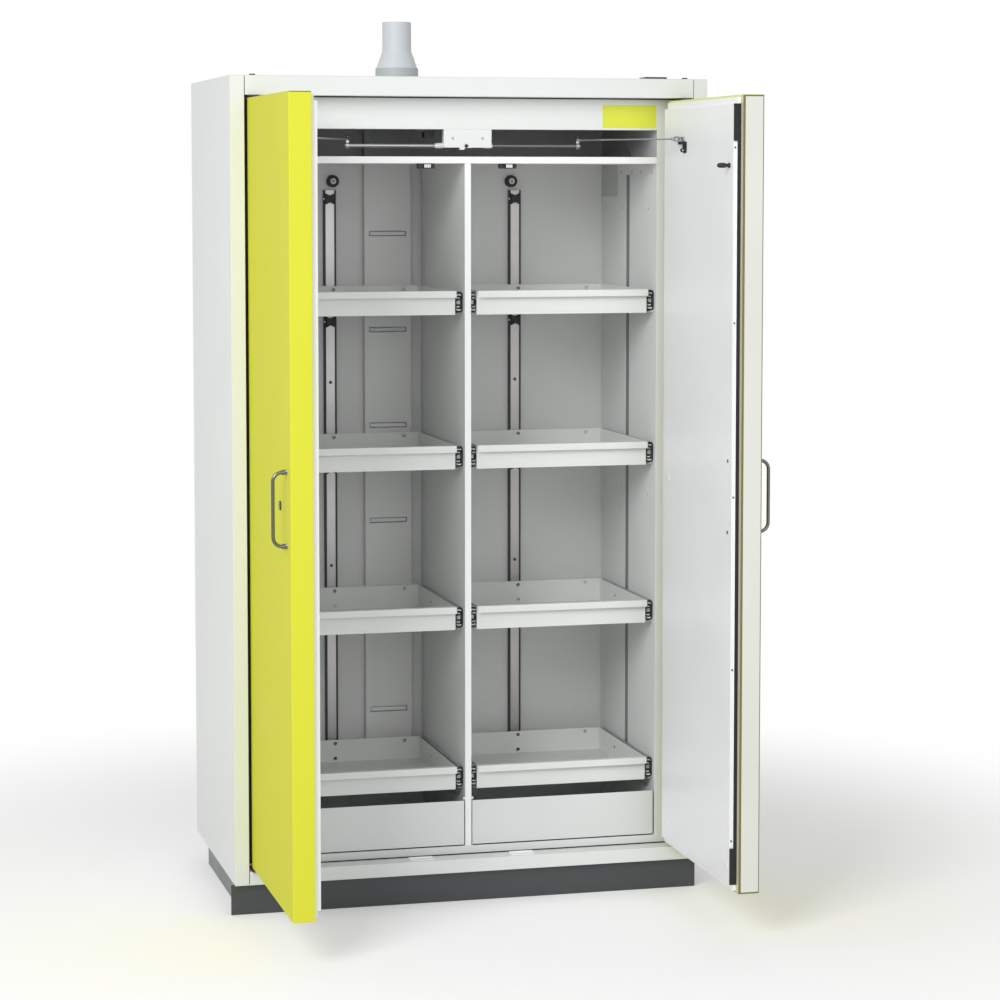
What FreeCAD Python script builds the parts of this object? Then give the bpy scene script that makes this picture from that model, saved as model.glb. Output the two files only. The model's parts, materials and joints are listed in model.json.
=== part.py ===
import FreeCAD, Part
import math
import os

# Safety cabinet for flammable liquids, with two insulated doors, eight pull-out trays and two sump trays.
# Millimetres, +Z up, -Y to the front, +X to the right as seen from the front.
# The origin is on the floor, at the centre of the casing's footprint. Both doors stand open at 90 degrees.

# Overall sizes
WIDTH = 1145.0
DEPTH = 600.0
HEIGHT = 1950.0
PLINTH_HEIGHT = 72.0

# Sheets, boards and clearances
SHEET = 1.5
TOUCH_GAP = 0.3
PIN_CLEARANCE = 0.05

# Walls, measured from the casing's outer faces to the inner liner's faces
SIDE_WALL = 106.5
BACK_WALL = 77.0
TOP_WALL = 78.0
UPRIGHT_WIDTH = 33.0
FRAME_SETBACK = 57.0
FASCIA_HEIGHT = 45.0
FASCIA_GAP = 1.5
LINTEL_HEIGHT = 75.0
RECESS_HEIGHT = 64.0
RECESS_SHELF_DEPTH = 55.0
CEILING_THICKNESS = 16.0
SILL_HEIGHT = 32.0
SILL_DEPTH = 48.5
SILL_LINE = 1.0
FRAME_BAND = 18.7

# Plinth and feet
PLINTH_SHEET = 2.0
PLINTH_FRONT_SETBACK = 15.0
PLINTH_FRONT_INSET = 4.5
PLINTH_FRONT_SHIFT = 12.0
PLINTH_SIDE_INSET = 19.5
PLINTH_BACK_INSET = 60.0
PLINTH_FLANGE = 30.0
FOOT_RADIUS = 22.5
FOOT_HEIGHT = 8.0
FOOT_STEM_RADIUS = 6.0
FOOT_NUT = 19.0
FOOT_NUT_HEIGHT = 10.0
FOOT_INSET = 50.0

# Partition and extraction
PARTITION_THICKNESS = 15.0
PARTITION_REAR_GAP = 8.0
TAB_WIDTH = 5.0
TAB_HEIGHT = 6.0
DUCT_CENTRE_X = -97.0
DUCT_WIDTH = 118.0
DUCT_DEPTH = 23.0
DUCT_SLOTS = 6
DUCT_SLOT_WIDTH = 94.0
DUCT_SLOT_HEIGHT = 13.0
DUCT_SLOT_FROM_FLOOR = 257.0
DUCT_SLOT_FROM_CEILING = 171.0
COLLAR_Y = 89.0
COLLAR_RING_RADIUS = 52.5
COLLAR_RING_HEIGHT = 34.0
COLLAR_SHOULDER_RADIUS = 50.0
COLLAR_PIPE_RADIUS = 48.0
COLLAR_CONE_HEIGHT = 40.0
COLLAR_SPIGOT_RADIUS = 35.25
COLLAR_SPIGOT_HEIGHT = 72.0

# Panels on the inner side walls
GROOVE_FROM_FRONT = 280.0
GROOVE_WIDTH = 29.0
GROOVE_TOP_MARGIN = 26.0
PANEL_BACK_GAP = 8.0
PANEL_NOTCH_FROM_FRONT = 379.0
PANEL_NOTCH_HEIGHT = 79.0
PANEL_HOLE_RADIUS = 4.0
PANEL_HOLES_FROM_FRONT = (125.0, 341.0, 486.0)
PANEL_HOLES_BELOW_CEILING = (108.0, 803.0)
PANEL_SLOT_LENGTH = 8.0
PANEL_SLOT_HEIGHT = 9.0
PANEL_SLOTS_FROM_FRONT = (98.0, 187.0, 262.0, 354.0)
PANEL_SLOTS_BELOW_CEILING = 19.0

# Rear rails, their clips and the round bumpers
RAIL_X = {"left": -241.0, "right": 235.0}
RAIL_WIDTH = 32.0
RAIL_STRIP_WIDTH = 22.0
RAIL_DEPTH = 8.0
RAIL_TOP_MARGIN = 63.0
RAIL_BOTTOM_MARGIN = 117.0
CLIP_HEIGHT = 28.0
CLIP_WIDTH = 24.0
CLIP_NOTCH = 6.0
CLIP_DEPTH = 10.0
CLIP_BELOW_RIM = 77.0
CLIP_TOP_MARGIN = 71.0
BUMPER_X = {"left": -233.0, "right": 225.5}
BUMPER_RADIUS = 15.0
BUMPER_LENGTH = 16.0
BUMPER_BELOW_CEILING = 41.0
BUMPER_SCREW_RADIUS = 6.0

# Doors, measured inwards from the hinge edge (along the door) and from the outer face (through it)
DOOR_THICKNESS = 49.0
LINER_STEP = 8.0
LINER_INSET = 15.0
LINER_END_INSET = 5.5
LINER_STEP_INSET = 2.5
LINER_STEP_END_INSET = 14.0
LINER_FLANGE = 5.0
PIVOT_FROM_FACE = 12.0
PIVOT_FROM_EDGE = 15.0
HINGE_GAP = 5.5
CENTRE_GAP = 3.0
DOOR_BOTTOM_GAP = 8.0
DOOR_TOP_GAP = 7.0
HINGE_CORNER_RADIUS = 5.0
FREE_CORNER_RADIUS = 2.5
SEAL_THICKNESS = 2.0
SEAL_BLOCK_HEIGHT = 82.0
END_STRIP_THICKNESS = 0.8
END_STRIP_FROM_FACE = 2.5
END_STRIP_WIDTH = 41.0
END_STRIP_END_GAP = 4.0

# Hinges
HINGE_PIN_RADIUS = 5.0
HINGE_PIN_DEPTH = 28.0
HINGE_HOLE_MARGIN = 1.0
HINGE_BLOCK_WIDTH = 24.0
HINGE_BLOCK_DEPTH = 21.0
HINGE_BLOCK_HEIGHT = 30.0
HINGE_PLATE_TOP = 5.0
HINGE_PLATE_BOTTOM = 2.5
HINGE_PLATE_HALF_WIDTH = 13.0
HINGE_PLATE_OVERHANG = 8.0
HINGE_WASHER_RADIUS = 10.0
HINGE_CAP_RADIUS = 7.0
HINGE_CAP_HEIGHT = 3.0
HINGE_CAP_SETBACK = 10.0
ROOF_COVER_X = (423.0, 475.5)
ROOF_COVER_Y = (12.0, 62.0)
ROOF_COVER_HEIGHT = 4.5

# Handles and lock
HANDLE_BAR_RADIUS = 4.0
HANDLE_STANDOFF = 31.0
HANDLE_BEND_RADIUS = 20.0
HANDLE_PITCH = 160.0
HANDLE_FROM_FREE_EDGE = 43.5
HANDLE_CENTRE_Z = 1005.0
LOCK_FROM_FREE_EDGE = 122.5
LOCK_RADIUS = 10.0
LOCK_PROUD = 3.0
LOCK_LENGTH = 29.0
LOCK_CASE_WIDTH = 40.0
LOCK_CASE_HEIGHT = 58.0
LOCK_CASE_DEPTH = 27.0
KEYWAY_WIDTH = 1.6
KEYWAY_LENGTH = 9.0
KEYWAY_DEPTH = 4.0

# Small fittings on the doors' inner faces
SCREW_HEAD_RADIUS = 4.5
SCREW_HEAD_HEIGHT = 1.2
BUFFER_RADIUS = 7.0
BUFFER_HEIGHT = 1.8
BUFFER_FROM_EDGE = 21.0
BUFFER_NEAR_HINGE = 42.0
BUFFER_ABOVE_DOOR_BOTTOM = 60.0
LATCH_FROM_FREE_EDGE = 42.0
LATCH_WIDTH = 14.0
LATCH_REACH = 30.0
LATCH_HEIGHT = 11.5
LATCH_TIP_LENGTH = 8.0
LATCH_BELOW_CEILING = 1.5
CATCH_X = 99.0
CATCH_WIDTH = 41.0
CATCH_HEIGHT = 12.0
CATCH_DEPTH = 15.0
CATCH_SETBACK = 4.0
CATCH_INSERT_WIDTH = 16.0
SILL_PLATE_X = 123.0
SILL_PLATE_WIDTH = 60.0
SILL_PLATE_SETBACK = 8.0
SILL_PLATE_DEPTH = 22.0
SILL_PLATE_THICKNESS = 2.0

# Door closer
ROD_RADIUS = 4.5
ROD_BELOW_RECESS_TOP = 38.0
ROD_BEHIND_FRAME = 43.0
ROD_STOP_RADIUS = 5.5
ROD_STOP_LENGTH = 3.0
FERRULE_RADIUS = 6.5
FERRULE_LENGTH = 20.0
CLOSER_PLATE_HALF_WIDTH = 58.0
CLOSER_PLATE_HEIGHT = 43.0
CLOSER_PLATE_THICKNESS = 3.0
CLOSER_BODY_HALF_WIDTH = 50.0
CLOSER_BODY_DEPTH = 50.0
CLOSER_SCREW_X = 36.0
SLIDER_OPEN_X = 280.0
SLIDER_LENGTH = 8.0
SLIDER_RADIUS = 7.5
SLIDER_PAD = 8.0
ARM_PIN_FROM_LINER = 16.0
ARM_PIN_FROM_PIVOT = 145.0
ARM_PIN_RADIUS = 4.0
ARM_ABOVE_ROD = 14.0
ARM_THICKNESS = 4.0
ARM_EYE_RADIUS = 8.0
ARM_BAR_RADIUS = 1.9
ARM_KNUCKLE_RADIUS = 5.0
ARM_KNUCKLE_HEIGHT = 12.0
ARM_PLATE_LENGTH = 44.0
ARM_PLATE_HEIGHT = 34.0
ARM_PLATE_THICKNESS = 2.0
ARM_LUG_WIDTH = 12.0
ARM_LUG_HEIGHT = 10.0

# Blank plate on the lintel
SIGN_WIDTH = 133.0
SIGN_HEIGHT = 54.0
SIGN_THICKNESS = 0.8
SIGN_FROM_OPENING = 3.0
SIGN_ABOVE_RECESS = 5.0

# Trays and their slides
TRAY_COUNT = 4
TRAY_HEIGHT = 57.0
TRAY_BOTTOM_RIM_ABOVE_FLOOR = 190.3
TRAY_TOP_CLEARANCE = 300.0
TRAY_TOP_DROP = 18.0
TRAY_LIP_SETBACK = 5.0
TRAY_LIP_DEPTH = 15.0
TRAY_LIP_HEIGHT = 16.0
TRAY_BACK_GAP = 57.0
TRAY_HOLE_RADIUS = 4.5
TRAY_HOLE_DROP = 9.0
TRAY_LOW_HOLE_DROP = 47.0
TRAY_HOLE_SPACING = 178.0
TRAY_HOLE_SHIFT = -6.0
TRAY_SLOT_DROP = 26.0
TRAY_SLOT_LENGTH = 12.0
TRAY_SLOT_HEIGHT = 5.0
TRAY_SLOT_FROM_FRONT = 253.0
SLIDE_WIDTH = 18.5
SLIDE_HEIGHT = 53.0
SLIDE_BELOW_RIM = 1.0
SLIDE_FRONT_SETBACK = 20.0
SLIDE_END_GAP = 4.0
SLIDE_FIXED_SHEET = 1.4
SLIDE_FIXED_REACH = 14.0
SLIDE_MIDDLE_OFFSET = 2.2
SLIDE_MIDDLE_WEB = 1.2
SLIDE_MIDDLE_HEAD = 3.6
SLIDE_MIDDLE_REACH = 14.8
SLIDE_INNER_OFFSET = 4.2
SLIDE_INNER_SHEET = 1.5
SLIDE_GAP = 0.6

# Sump trays
SUMP_HEIGHT = 109.0
SUMP_SIDE_GAP = 4.0
SUMP_PARTITION_GAP = 2.5
SUMP_DUCT_GAP = 5.0

# Places that follow from the sizes above
FRONT = -DEPTH / 2
BACK = DEPTH / 2
ROOF_Z = HEIGHT - SHEET
SHELL_Z = PLINTH_HEIGHT + SHEET
UPRIGHT_X = WIDTH / 2 - UPRIGHT_WIDTH
INNER_X = WIDTH / 2 - SIDE_WALL
LINER_X = INNER_X + SHEET
LINER_OUT_X = LINER_X + SHEET
FRAME_Y = FRONT + FRAME_SETBACK
FRAME_BACK_Y = FRAME_Y + SHEET
LINER_BACK_Y = BACK - BACK_WALL
FRAME_TOP_Z = HEIGHT - FASCIA_HEIGHT
RECESS_TOP_Z = FRAME_TOP_Z - LINTEL_HEIGHT
CEILING_TOP_Z = RECESS_TOP_Z - RECESS_HEIGHT
CEILING_Z = CEILING_TOP_Z - CEILING_THICKNESS
CAVITY_TOP_Z = HEIGHT - TOP_WALL
SILL_Z = PLINTH_HEIGHT + SILL_HEIGHT
FLOOR_Z = SILL_Z + FRAME_BAND
HALF_PARTITION = PARTITION_THICKNESS / 2
DOOR_BOTTOM_Z = SILL_Z + DOOR_BOTTOM_GAP
DOOR_TOP_Z = FRAME_TOP_Z - DOOR_TOP_GAP
PIVOT_X = UPRIGHT_X - HINGE_GAP - PIVOT_FROM_EDGE
DOOR_WIDTH = PIVOT_X + PIVOT_FROM_EDGE - CENTRE_GAP / 2
DOOR_INNER = DOOR_THICKNESS + 2 * LINER_STEP
ROD_Z = RECESS_TOP_Z - ROD_BELOW_RECESS_TOP
ROD_Y = FRAME_Y + ROD_BEHIND_FRAME
ARM_Z = ROD_Z + ARM_ABOVE_ROD
TRAY_PITCH = (
    CEILING_Z - TRAY_TOP_CLEARANCE + TRAY_TOP_DROP - FLOOR_Z - TRAY_BOTTOM_RIM_ABOVE_FLOOR
) / (TRAY_COUNT - 1)
TRAY_LIP_Y = FRAME_Y + TRAY_LIP_SETBACK
TRAY_FRONT_Y = TRAY_LIP_Y + TRAY_LIP_DEPTH
TRAY_BACK_Y = LINER_BACK_Y - TRAY_BACK_GAP
TRAY_INNER_X = HALF_PARTITION + SLIDE_WIDTH
TRAY_OUTER_X = INNER_X - SLIDE_WIDTH
SLIDE_START_Y = FRAME_Y + SLIDE_FRONT_SETBACK
SLIDE_END_Y = TRAY_BACK_Y - SLIDE_END_GAP
SIDES = {"left": -1, "right": 1}
X_AXIS = FreeCAD.Vector(1, 0, 0)
Y_AXIS = FreeCAD.Vector(0, 1, 0)
Z_AXIS = FreeCAD.Vector(0, 0, 1)


def box(x_pair, y_pair, z_pair):
    """A box between two limits on each axis, given in any order."""
    low = FreeCAD.Vector(min(x_pair), min(y_pair), min(z_pair))
    high = FreeCAD.Vector(max(x_pair), max(y_pair), max(z_pair))
    size = high - low
    return Part.makeBox(size.x, size.y, size.z, low)


def centred(middle, length):
    """The two limits of a length about its middle."""
    return (middle - length / 2, middle + length / 2)


def cylinder(radius, length, base, axis):
    """A cylinder from its base centre along an axis."""
    return Part.makeCylinder(radius, length, FreeCAD.Vector(*base), axis)


def ring(outer_radius, inner_radius, length, base, axis):
    """A round sleeve from its base centre along an axis."""
    return cylinder(outer_radius, length, base, axis).cut(cylinder(inner_radius, length, base, axis))


def prism(points, direction):
    """A polygon swept along a direction."""
    corners = [FreeCAD.Vector(*point) for point in points]
    return Part.Face(Part.makePolygon(corners + corners[:1])).extrude(direction)


def joined(pieces):
    """One solid made of touching pieces."""
    return pieces[0].fuse(pieces[1:]).removeSplitter()


def rounded(solid, radius_at):
    """A solid with its upright edges rounded, from a map of (x, y) corners to radii."""
    for (x, y), radius in radius_at.items():
        edges = [
            edge
            for edge in solid.Edges
            if all(math.hypot(v.X - x, v.Y - y) < TOUCH_GAP for v in edge.Vertexes)
        ]
        solid = solid.makeFillet(radius, edges)
    return solid


def save(node, pieces):
    """Writes one node as a group of separate solids."""
    Part.makeCompound(pieces).exportStep(f"parts/{node}.step")


def tray_rims():
    """Rim heights of the trays, from the bottom up. The top tray hangs a little lower than its place."""
    rims = [FLOOR_Z + TRAY_BOTTOM_RIM_ABOVE_FLOOR + TRAY_PITCH * k for k in range(TRAY_COUNT)]
    rims[-1] -= TRAY_TOP_DROP
    return rims


# Casing


def make_side_panels():
    """Each side sheet folds round the front corner and back to the door frame."""
    pieces = []
    for side in SIDES.values():
        plan = [
            (WIDTH / 2, BACK),
            (WIDTH / 2, FRONT),
            (UPRIGHT_X, FRONT),
            (UPRIGHT_X, FRAME_Y),
            (UPRIGHT_X + SHEET, FRAME_Y),
            (UPRIGHT_X + SHEET, FRONT + SHEET),
            (WIDTH / 2 - SHEET, FRONT + SHEET),
            (WIDTH / 2 - SHEET, BACK),
        ]
        points = [(side * x, y, SHELL_Z) for x, y in plan]
        pieces.append(prism(points, Z_AXIS * (ROOF_Z - SHELL_Z)))
    save("side_panels", pieces)


def make_back_panel():
    inside = WIDTH / 2 - SHEET
    save("back_panel", [box((-inside, inside), (BACK - SHEET, BACK), (SHELL_Z, ROOF_Z))])


def make_top_panel():
    roof = box((-WIDTH / 2, WIDTH / 2), (FRONT, BACK), (ROOF_Z, HEIGHT))
    hole = cylinder(
        COLLAR_PIPE_RADIUS + TOUCH_GAP, SHEET, (DUCT_CENTRE_X, COLLAR_Y, ROOF_Z), Z_AXIS
    )
    save("top_panel", [roof.cut(hole)])


def make_base_panel():
    """The floor sheet, with the sill folded up and back between the uprights."""
    sill = UPRIGHT_X - FASCIA_GAP
    pieces = [
        box((-WIDTH / 2, WIDTH / 2), (FRONT, BACK), (PLINTH_HEIGHT, SHELL_Z)),
        box((-sill, sill), (FRONT, FRONT + SHEET), (PLINTH_HEIGHT, SILL_Z)),
        box((-sill, sill), (FRONT, FRONT + SILL_DEPTH), (SILL_Z - SHEET, SILL_Z)),
    ]
    save("base_panel", [joined(pieces)])


def make_top_fascia():
    """The band above the doors, with its sheet folded back to the door frame."""
    half = UPRIGHT_X - FASCIA_GAP
    pieces = [
        box((-half, half), (FRONT, FRONT + SHEET), (FRAME_TOP_Z, ROOF_Z)),
        box((-half, half), (FRONT, FRAME_Y), (FRAME_TOP_Z, FRAME_TOP_Z + SHEET)),
    ]
    save("top_fascia", [joined(pieces)])


def make_door_frame():
    """One holed sheet behind the uprights, with a shelf over the recess and a flange to the sill."""
    outside = UPRIGHT_X + SHEET
    flange_y = FRONT + SILL_DEPTH + SILL_LINE
    sheet = box((-outside, outside), (FRAME_Y, FRAME_BACK_Y), (SHELL_Z, FRAME_TOP_Z + SHEET))
    opening = box((-INNER_X, INNER_X), (FRAME_Y, FRAME_BACK_Y), (FLOOR_Z, RECESS_TOP_Z))
    shelf = box(
        (-INNER_X, INNER_X),
        (FRAME_Y, FRAME_BACK_Y + RECESS_SHELF_DEPTH),
        (RECESS_TOP_Z, RECESS_TOP_Z + SHEET),
    )
    sill = UPRIGHT_X - FASCIA_GAP
    flange = box((-sill, sill), (flange_y, FRAME_Y), (SILL_Z - SHEET, SILL_Z))
    save("door_frame", [joined([sheet.cut(opening), shelf, flange])])


def make_plinth():
    """A folded frame with a middle rail under the origin, and a dark panel in front, a little to the left."""
    outside = WIDTH / 2 - PLINTH_SIDE_INSET
    front_y = FRONT + PLINTH_FRONT_SETBACK + PLINTH_SHEET
    back_y = BACK - PLINTH_BACK_INSET
    heights = (0, PLINTH_HEIGHT)
    flanges = ((0, PLINTH_SHEET), (PLINTH_HEIGHT - PLINTH_SHEET, PLINTH_HEIGHT))
    pieces = [
        box((-outside, outside), (back_y - PLINTH_SHEET, back_y), heights),
        box((-outside, outside), (front_y, front_y + PLINTH_SHEET), heights),
    ]
    for side in SIDES.values():
        pieces.append(box((side * outside, side * (outside - PLINTH_SHEET)), (front_y, back_y), heights))
        for levels in flanges:
            flange_x = (side * outside, side * (outside - PLINTH_FLANGE))
            pieces.append(box(flange_x, (front_y, back_y), levels))
    for levels in flanges:
        pieces.append(box(centred(0, PLINTH_FLANGE), (front_y, back_y), levels))
    pieces.append(box(centred(0, PLINTH_SHEET), (front_y, back_y), heights))
    save("plinth_frame", [joined(pieces)])

    panel_x = centred(-PLINTH_FRONT_SHIFT, WIDTH - 2 * PLINTH_FRONT_INSET)
    panel_y = (front_y - PLINTH_SHEET, front_y)
    save("plinth_front", [box(panel_x, panel_y, heights)])


def make_levelling_feet():
    """Four screw feet inside the plinth's corners, each with a nut under the base panel."""
    foot_x = WIDTH / 2 - PLINTH_SIDE_INSET - PLINTH_FLANGE - FOOT_INSET
    places_y = (
        FRONT + PLINTH_FRONT_SETBACK + PLINTH_FLANGE + FOOT_INSET,
        BACK - PLINTH_BACK_INSET - FOOT_INSET,
    )
    pieces = []
    for x in (-foot_x, foot_x):
        for y in places_y:
            pad = cylinder(FOOT_RADIUS, FOOT_HEIGHT, (x, y, 0), Z_AXIS)
            stem = cylinder(FOOT_STEM_RADIUS, PLINTH_HEIGHT - FOOT_HEIGHT, (x, y, FOOT_HEIGHT), Z_AXIS)
            nut_z = (PLINTH_HEIGHT - FOOT_NUT_HEIGHT, PLINTH_HEIGHT)
            nut = box(centred(x, FOOT_NUT), centred(y, FOOT_NUT), nut_z)
            pieces.append(joined([pad, stem, nut]))
    save("levelling_feet", pieces)


# Inside


def make_inner_liner():
    """Five sheets that line the cavity, open at the front, with the extraction hole in the roof sheet."""
    across = (-LINER_OUT_X, LINER_OUT_X)
    depth = (FRAME_BACK_Y, LINER_BACK_Y)
    full_depth = (FRAME_BACK_Y, LINER_BACK_Y + SHEET)
    heights = (FLOOR_Z, CAVITY_TOP_Z)
    hole = cylinder(
        COLLAR_PIPE_RADIUS + TOUCH_GAP, SHEET, (DUCT_CENTRE_X, COLLAR_Y, CAVITY_TOP_Z), Z_AXIS
    )
    roof = box(across, full_depth, (CAVITY_TOP_Z, CAVITY_TOP_Z + SHEET)).cut(hole)
    floor = box(across, full_depth, (FLOOR_Z - SHEET, FLOOR_Z))
    back = box(across, (LINER_BACK_Y, LINER_BACK_Y + SHEET), heights)
    walls = [box((side * LINER_X, side * LINER_OUT_X), depth, heights) for side in SIDES.values()]
    save("inner_liner", [roof, floor, back] + walls)


def make_side_wall_panels():
    """The holed panels that carry the slides, each split by a groove below its top band."""
    groove_y = FRONT + GROOVE_FROM_FRONT
    pieces = []
    for side in SIDES.values():
        x_pair = (side * INNER_X, side * LINER_X)
        panel = box(x_pair, (FRAME_BACK_Y, LINER_BACK_Y - PANEL_BACK_GAP), (FLOOR_Z, CEILING_Z))
        cuts = [
            box(x_pair, (groove_y, groove_y + GROOVE_WIDTH), (FLOOR_Z, CEILING_Z - GROOVE_TOP_MARGIN)),
            box(x_pair, (FRONT + PANEL_NOTCH_FROM_FRONT, BACK), (CEILING_Z - PANEL_NOTCH_HEIGHT, CEILING_Z)),
        ]
        for y in PANEL_HOLES_FROM_FRONT:
            for drop in PANEL_HOLES_BELOW_CEILING:
                base = (side * INNER_X, FRONT + y, CEILING_Z - drop)
                cuts.append(cylinder(PANEL_HOLE_RADIUS, SHEET, base, X_AXIS * side))
        for y in PANEL_SLOTS_FROM_FRONT:
            slot_z = centred(CEILING_Z - PANEL_SLOTS_BELOW_CEILING, PANEL_SLOT_HEIGHT)
            cuts.append(box(x_pair, centred(FRONT + y, PANEL_SLOT_LENGTH), slot_z))
        pieces.append(panel.cut(cuts))
    save("side_wall_panels", pieces)


def make_ceiling_panel():
    panel = box((-INNER_X, INNER_X), (FRAME_Y, LINER_BACK_Y), (CEILING_Z, CEILING_TOP_Z))
    save("ceiling_panel", [panel])


def make_insulation_boards():
    """Fire-proof boards that fill the space between the casing and the liner."""
    heights = (SHELL_Z, ROOF_Z)
    inside = WIDTH / 2 - SHEET
    back_y = BACK - SHEET
    across = (-LINER_OUT_X, LINER_OUT_X)
    pieces = [
        box((side * LINER_OUT_X, side * inside), (FRAME_BACK_Y, back_y), heights)
        for side in SIDES.values()
    ]
    top = box(across, (FRAME_BACK_Y, back_y), (CAVITY_TOP_Z + SHEET, ROOF_Z))
    chimney = cylinder(
        COLLAR_PIPE_RADIUS + TOUCH_GAP, TOP_WALL, (DUCT_CENTRE_X, COLLAR_Y, CAVITY_TOP_Z), Z_AXIS
    )
    pieces.append(top.cut(chimney))
    pieces.append(box(across, (FRAME_BACK_Y, back_y), (SHELL_Z, FLOOR_Z - SHEET)))
    pieces.append(box(across, (LINER_BACK_Y + SHEET, back_y), (FLOOR_Z - SHEET, CAVITY_TOP_Z + SHEET)))
    save("insulation_boards", pieces)


def make_partition():
    """A sheet folded round its front edge, open at the back, with two small tabs over the sumps."""
    back_y = LINER_BACK_Y - PARTITION_REAR_GAP
    outer = box((-HALF_PARTITION, HALF_PARTITION), (FRAME_Y, back_y), (FLOOR_Z, CEILING_Z))
    hollow_x = HALF_PARTITION - SHEET
    hollow = box((-hollow_x, hollow_x), (FRAME_Y + SHEET, back_y), (FLOOR_Z, CEILING_Z))
    tab_z = FLOOR_Z + SUMP_HEIGHT + TAB_HEIGHT
    tabs = box(
        centred(0, PARTITION_THICKNESS + 2 * TAB_WIDTH),
        (FRAME_Y, FRAME_BACK_Y),
        centred(tab_z, TAB_HEIGHT),
    )
    save("partition", [joined([outer.cut(hollow), tabs])])


def make_air_duct():
    """A channel on the rear wall, with a row of slots down its face."""
    outer_x = centred(DUCT_CENTRE_X, DUCT_WIDTH)
    inner_x = centred(DUCT_CENTRE_X, DUCT_WIDTH - 2 * SHEET)
    face_y = LINER_BACK_Y - DUCT_DEPTH
    heights = (FLOOR_Z, CEILING_Z)
    duct = box(outer_x, (face_y, LINER_BACK_Y), heights)
    cuts = [box(inner_x, (face_y + SHEET, LINER_BACK_Y), heights)]
    lowest = FLOOR_Z + DUCT_SLOT_FROM_FLOOR
    pitch = (CEILING_Z - DUCT_SLOT_FROM_CEILING - lowest) / (DUCT_SLOTS - 1)
    for k in range(DUCT_SLOTS):
        slot_z = centred(lowest + pitch * k, DUCT_SLOT_HEIGHT)
        cuts.append(box(centred(DUCT_CENTRE_X, DUCT_SLOT_WIDTH), (face_y, face_y + SHEET), slot_z))
    save("air_duct", [duct.cut(cuts)])


def make_exhaust_collar():
    """A turned reducer on the roof, with its pipe down to the liner's top."""
    ring_z = HEIGHT + COLLAR_RING_HEIGHT
    cone_z = ring_z + COLLAR_CONE_HEIGHT
    top_z = cone_z + COLLAR_SPIGOT_HEIGHT
    profile = [
        (COLLAR_PIPE_RADIUS, CAVITY_TOP_Z),
        (COLLAR_PIPE_RADIUS, HEIGHT),
        (COLLAR_RING_RADIUS, HEIGHT),
        (COLLAR_RING_RADIUS, ring_z),
        (COLLAR_SHOULDER_RADIUS, ring_z),
        (COLLAR_SPIGOT_RADIUS, cone_z),
        (COLLAR_SPIGOT_RADIUS, top_z),
        (COLLAR_SPIGOT_RADIUS - SHEET, top_z),
        (COLLAR_SPIGOT_RADIUS - SHEET, cone_z),
        (COLLAR_PIPE_RADIUS - SHEET, ring_z),
        (COLLAR_PIPE_RADIUS - SHEET, CAVITY_TOP_Z),
    ]
    corners = [FreeCAD.Vector(DUCT_CENTRE_X + r, COLLAR_Y, z) for r, z in profile]
    face = Part.Face(Part.makePolygon(corners + corners[:1]))
    centre = FreeCAD.Vector(DUCT_CENTRE_X, COLLAR_Y, 0)
    save("exhaust_collar", [face.revolve(centre, Z_AXIS, 360)])


def make_rear_rails():
    """Two channels behind the trays, each with a bright strip on its face."""
    heights = (FLOOR_Z + RAIL_BOTTOM_MARGIN, CEILING_Z - RAIL_TOP_MARGIN)
    face_y = LINER_BACK_Y - RAIL_DEPTH
    pieces = []
    for middle in RAIL_X.values():
        outer = box(centred(middle, RAIL_WIDTH), (face_y, LINER_BACK_Y), heights)
        hollow = box(centred(middle, RAIL_WIDTH - 2 * SHEET), (face_y + SHEET, LINER_BACK_Y), heights)
        pieces.append(outer.cut(hollow))
        pieces.append(box(centred(middle, RAIL_STRIP_WIDTH), (face_y - SHEET, face_y), heights))
    save("rear_rails", pieces)


def make_rail_clips():
    """A notched clip under each tray and one near the rail's top, and a round bumper above each rail."""
    face_y = LINER_BACK_Y - RAIL_DEPTH - SHEET
    tops = [CEILING_Z - CLIP_TOP_MARGIN]
    tops += [rim - CLIP_BELOW_RIM for rim in tray_rims()[1:]]
    half = CLIP_WIDTH / 2
    pieces = []
    for name in SIDES:
        for top in tops:
            middle = RAIL_X[name]
            outline = [
                (middle - half, face_y, top),
                (middle, face_y, top - CLIP_NOTCH),
                (middle + half, face_y, top),
                (middle + half, face_y, top - CLIP_HEIGHT),
                (middle, face_y, top - CLIP_HEIGHT + CLIP_NOTCH),
                (middle - half, face_y, top - CLIP_HEIGHT),
            ]
            pieces.append(prism(outline, -Y_AXIS * CLIP_DEPTH))
        bumper_z = CEILING_Z - BUMPER_BELOW_CEILING
        base = (BUMPER_X[name], LINER_BACK_Y, bumper_z)
        bumper = cylinder(BUMPER_RADIUS, BUMPER_LENGTH, base, -Y_AXIS)
        tip = (BUMPER_X[name], LINER_BACK_Y - BUMPER_LENGTH, bumper_z)
        screw = cylinder(BUMPER_SCREW_RADIUS, SHEET, tip, -Y_AXIS)
        pieces += [bumper, screw]
    save("rail_clips", pieces)


def make_sign_plate():
    """A blank plate on the lintel, where the door's corner leaves it in view."""
    right = INNER_X - SIGN_FROM_OPENING
    bottom = RECESS_TOP_Z + SIGN_ABOVE_RECESS
    plate = box(
        (right - SIGN_WIDTH, right), (FRAME_Y - SIGN_THICKNESS, FRAME_Y), (bottom, bottom + SIGN_HEIGHT)
    )
    save("sign_plate", [plate])


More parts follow.
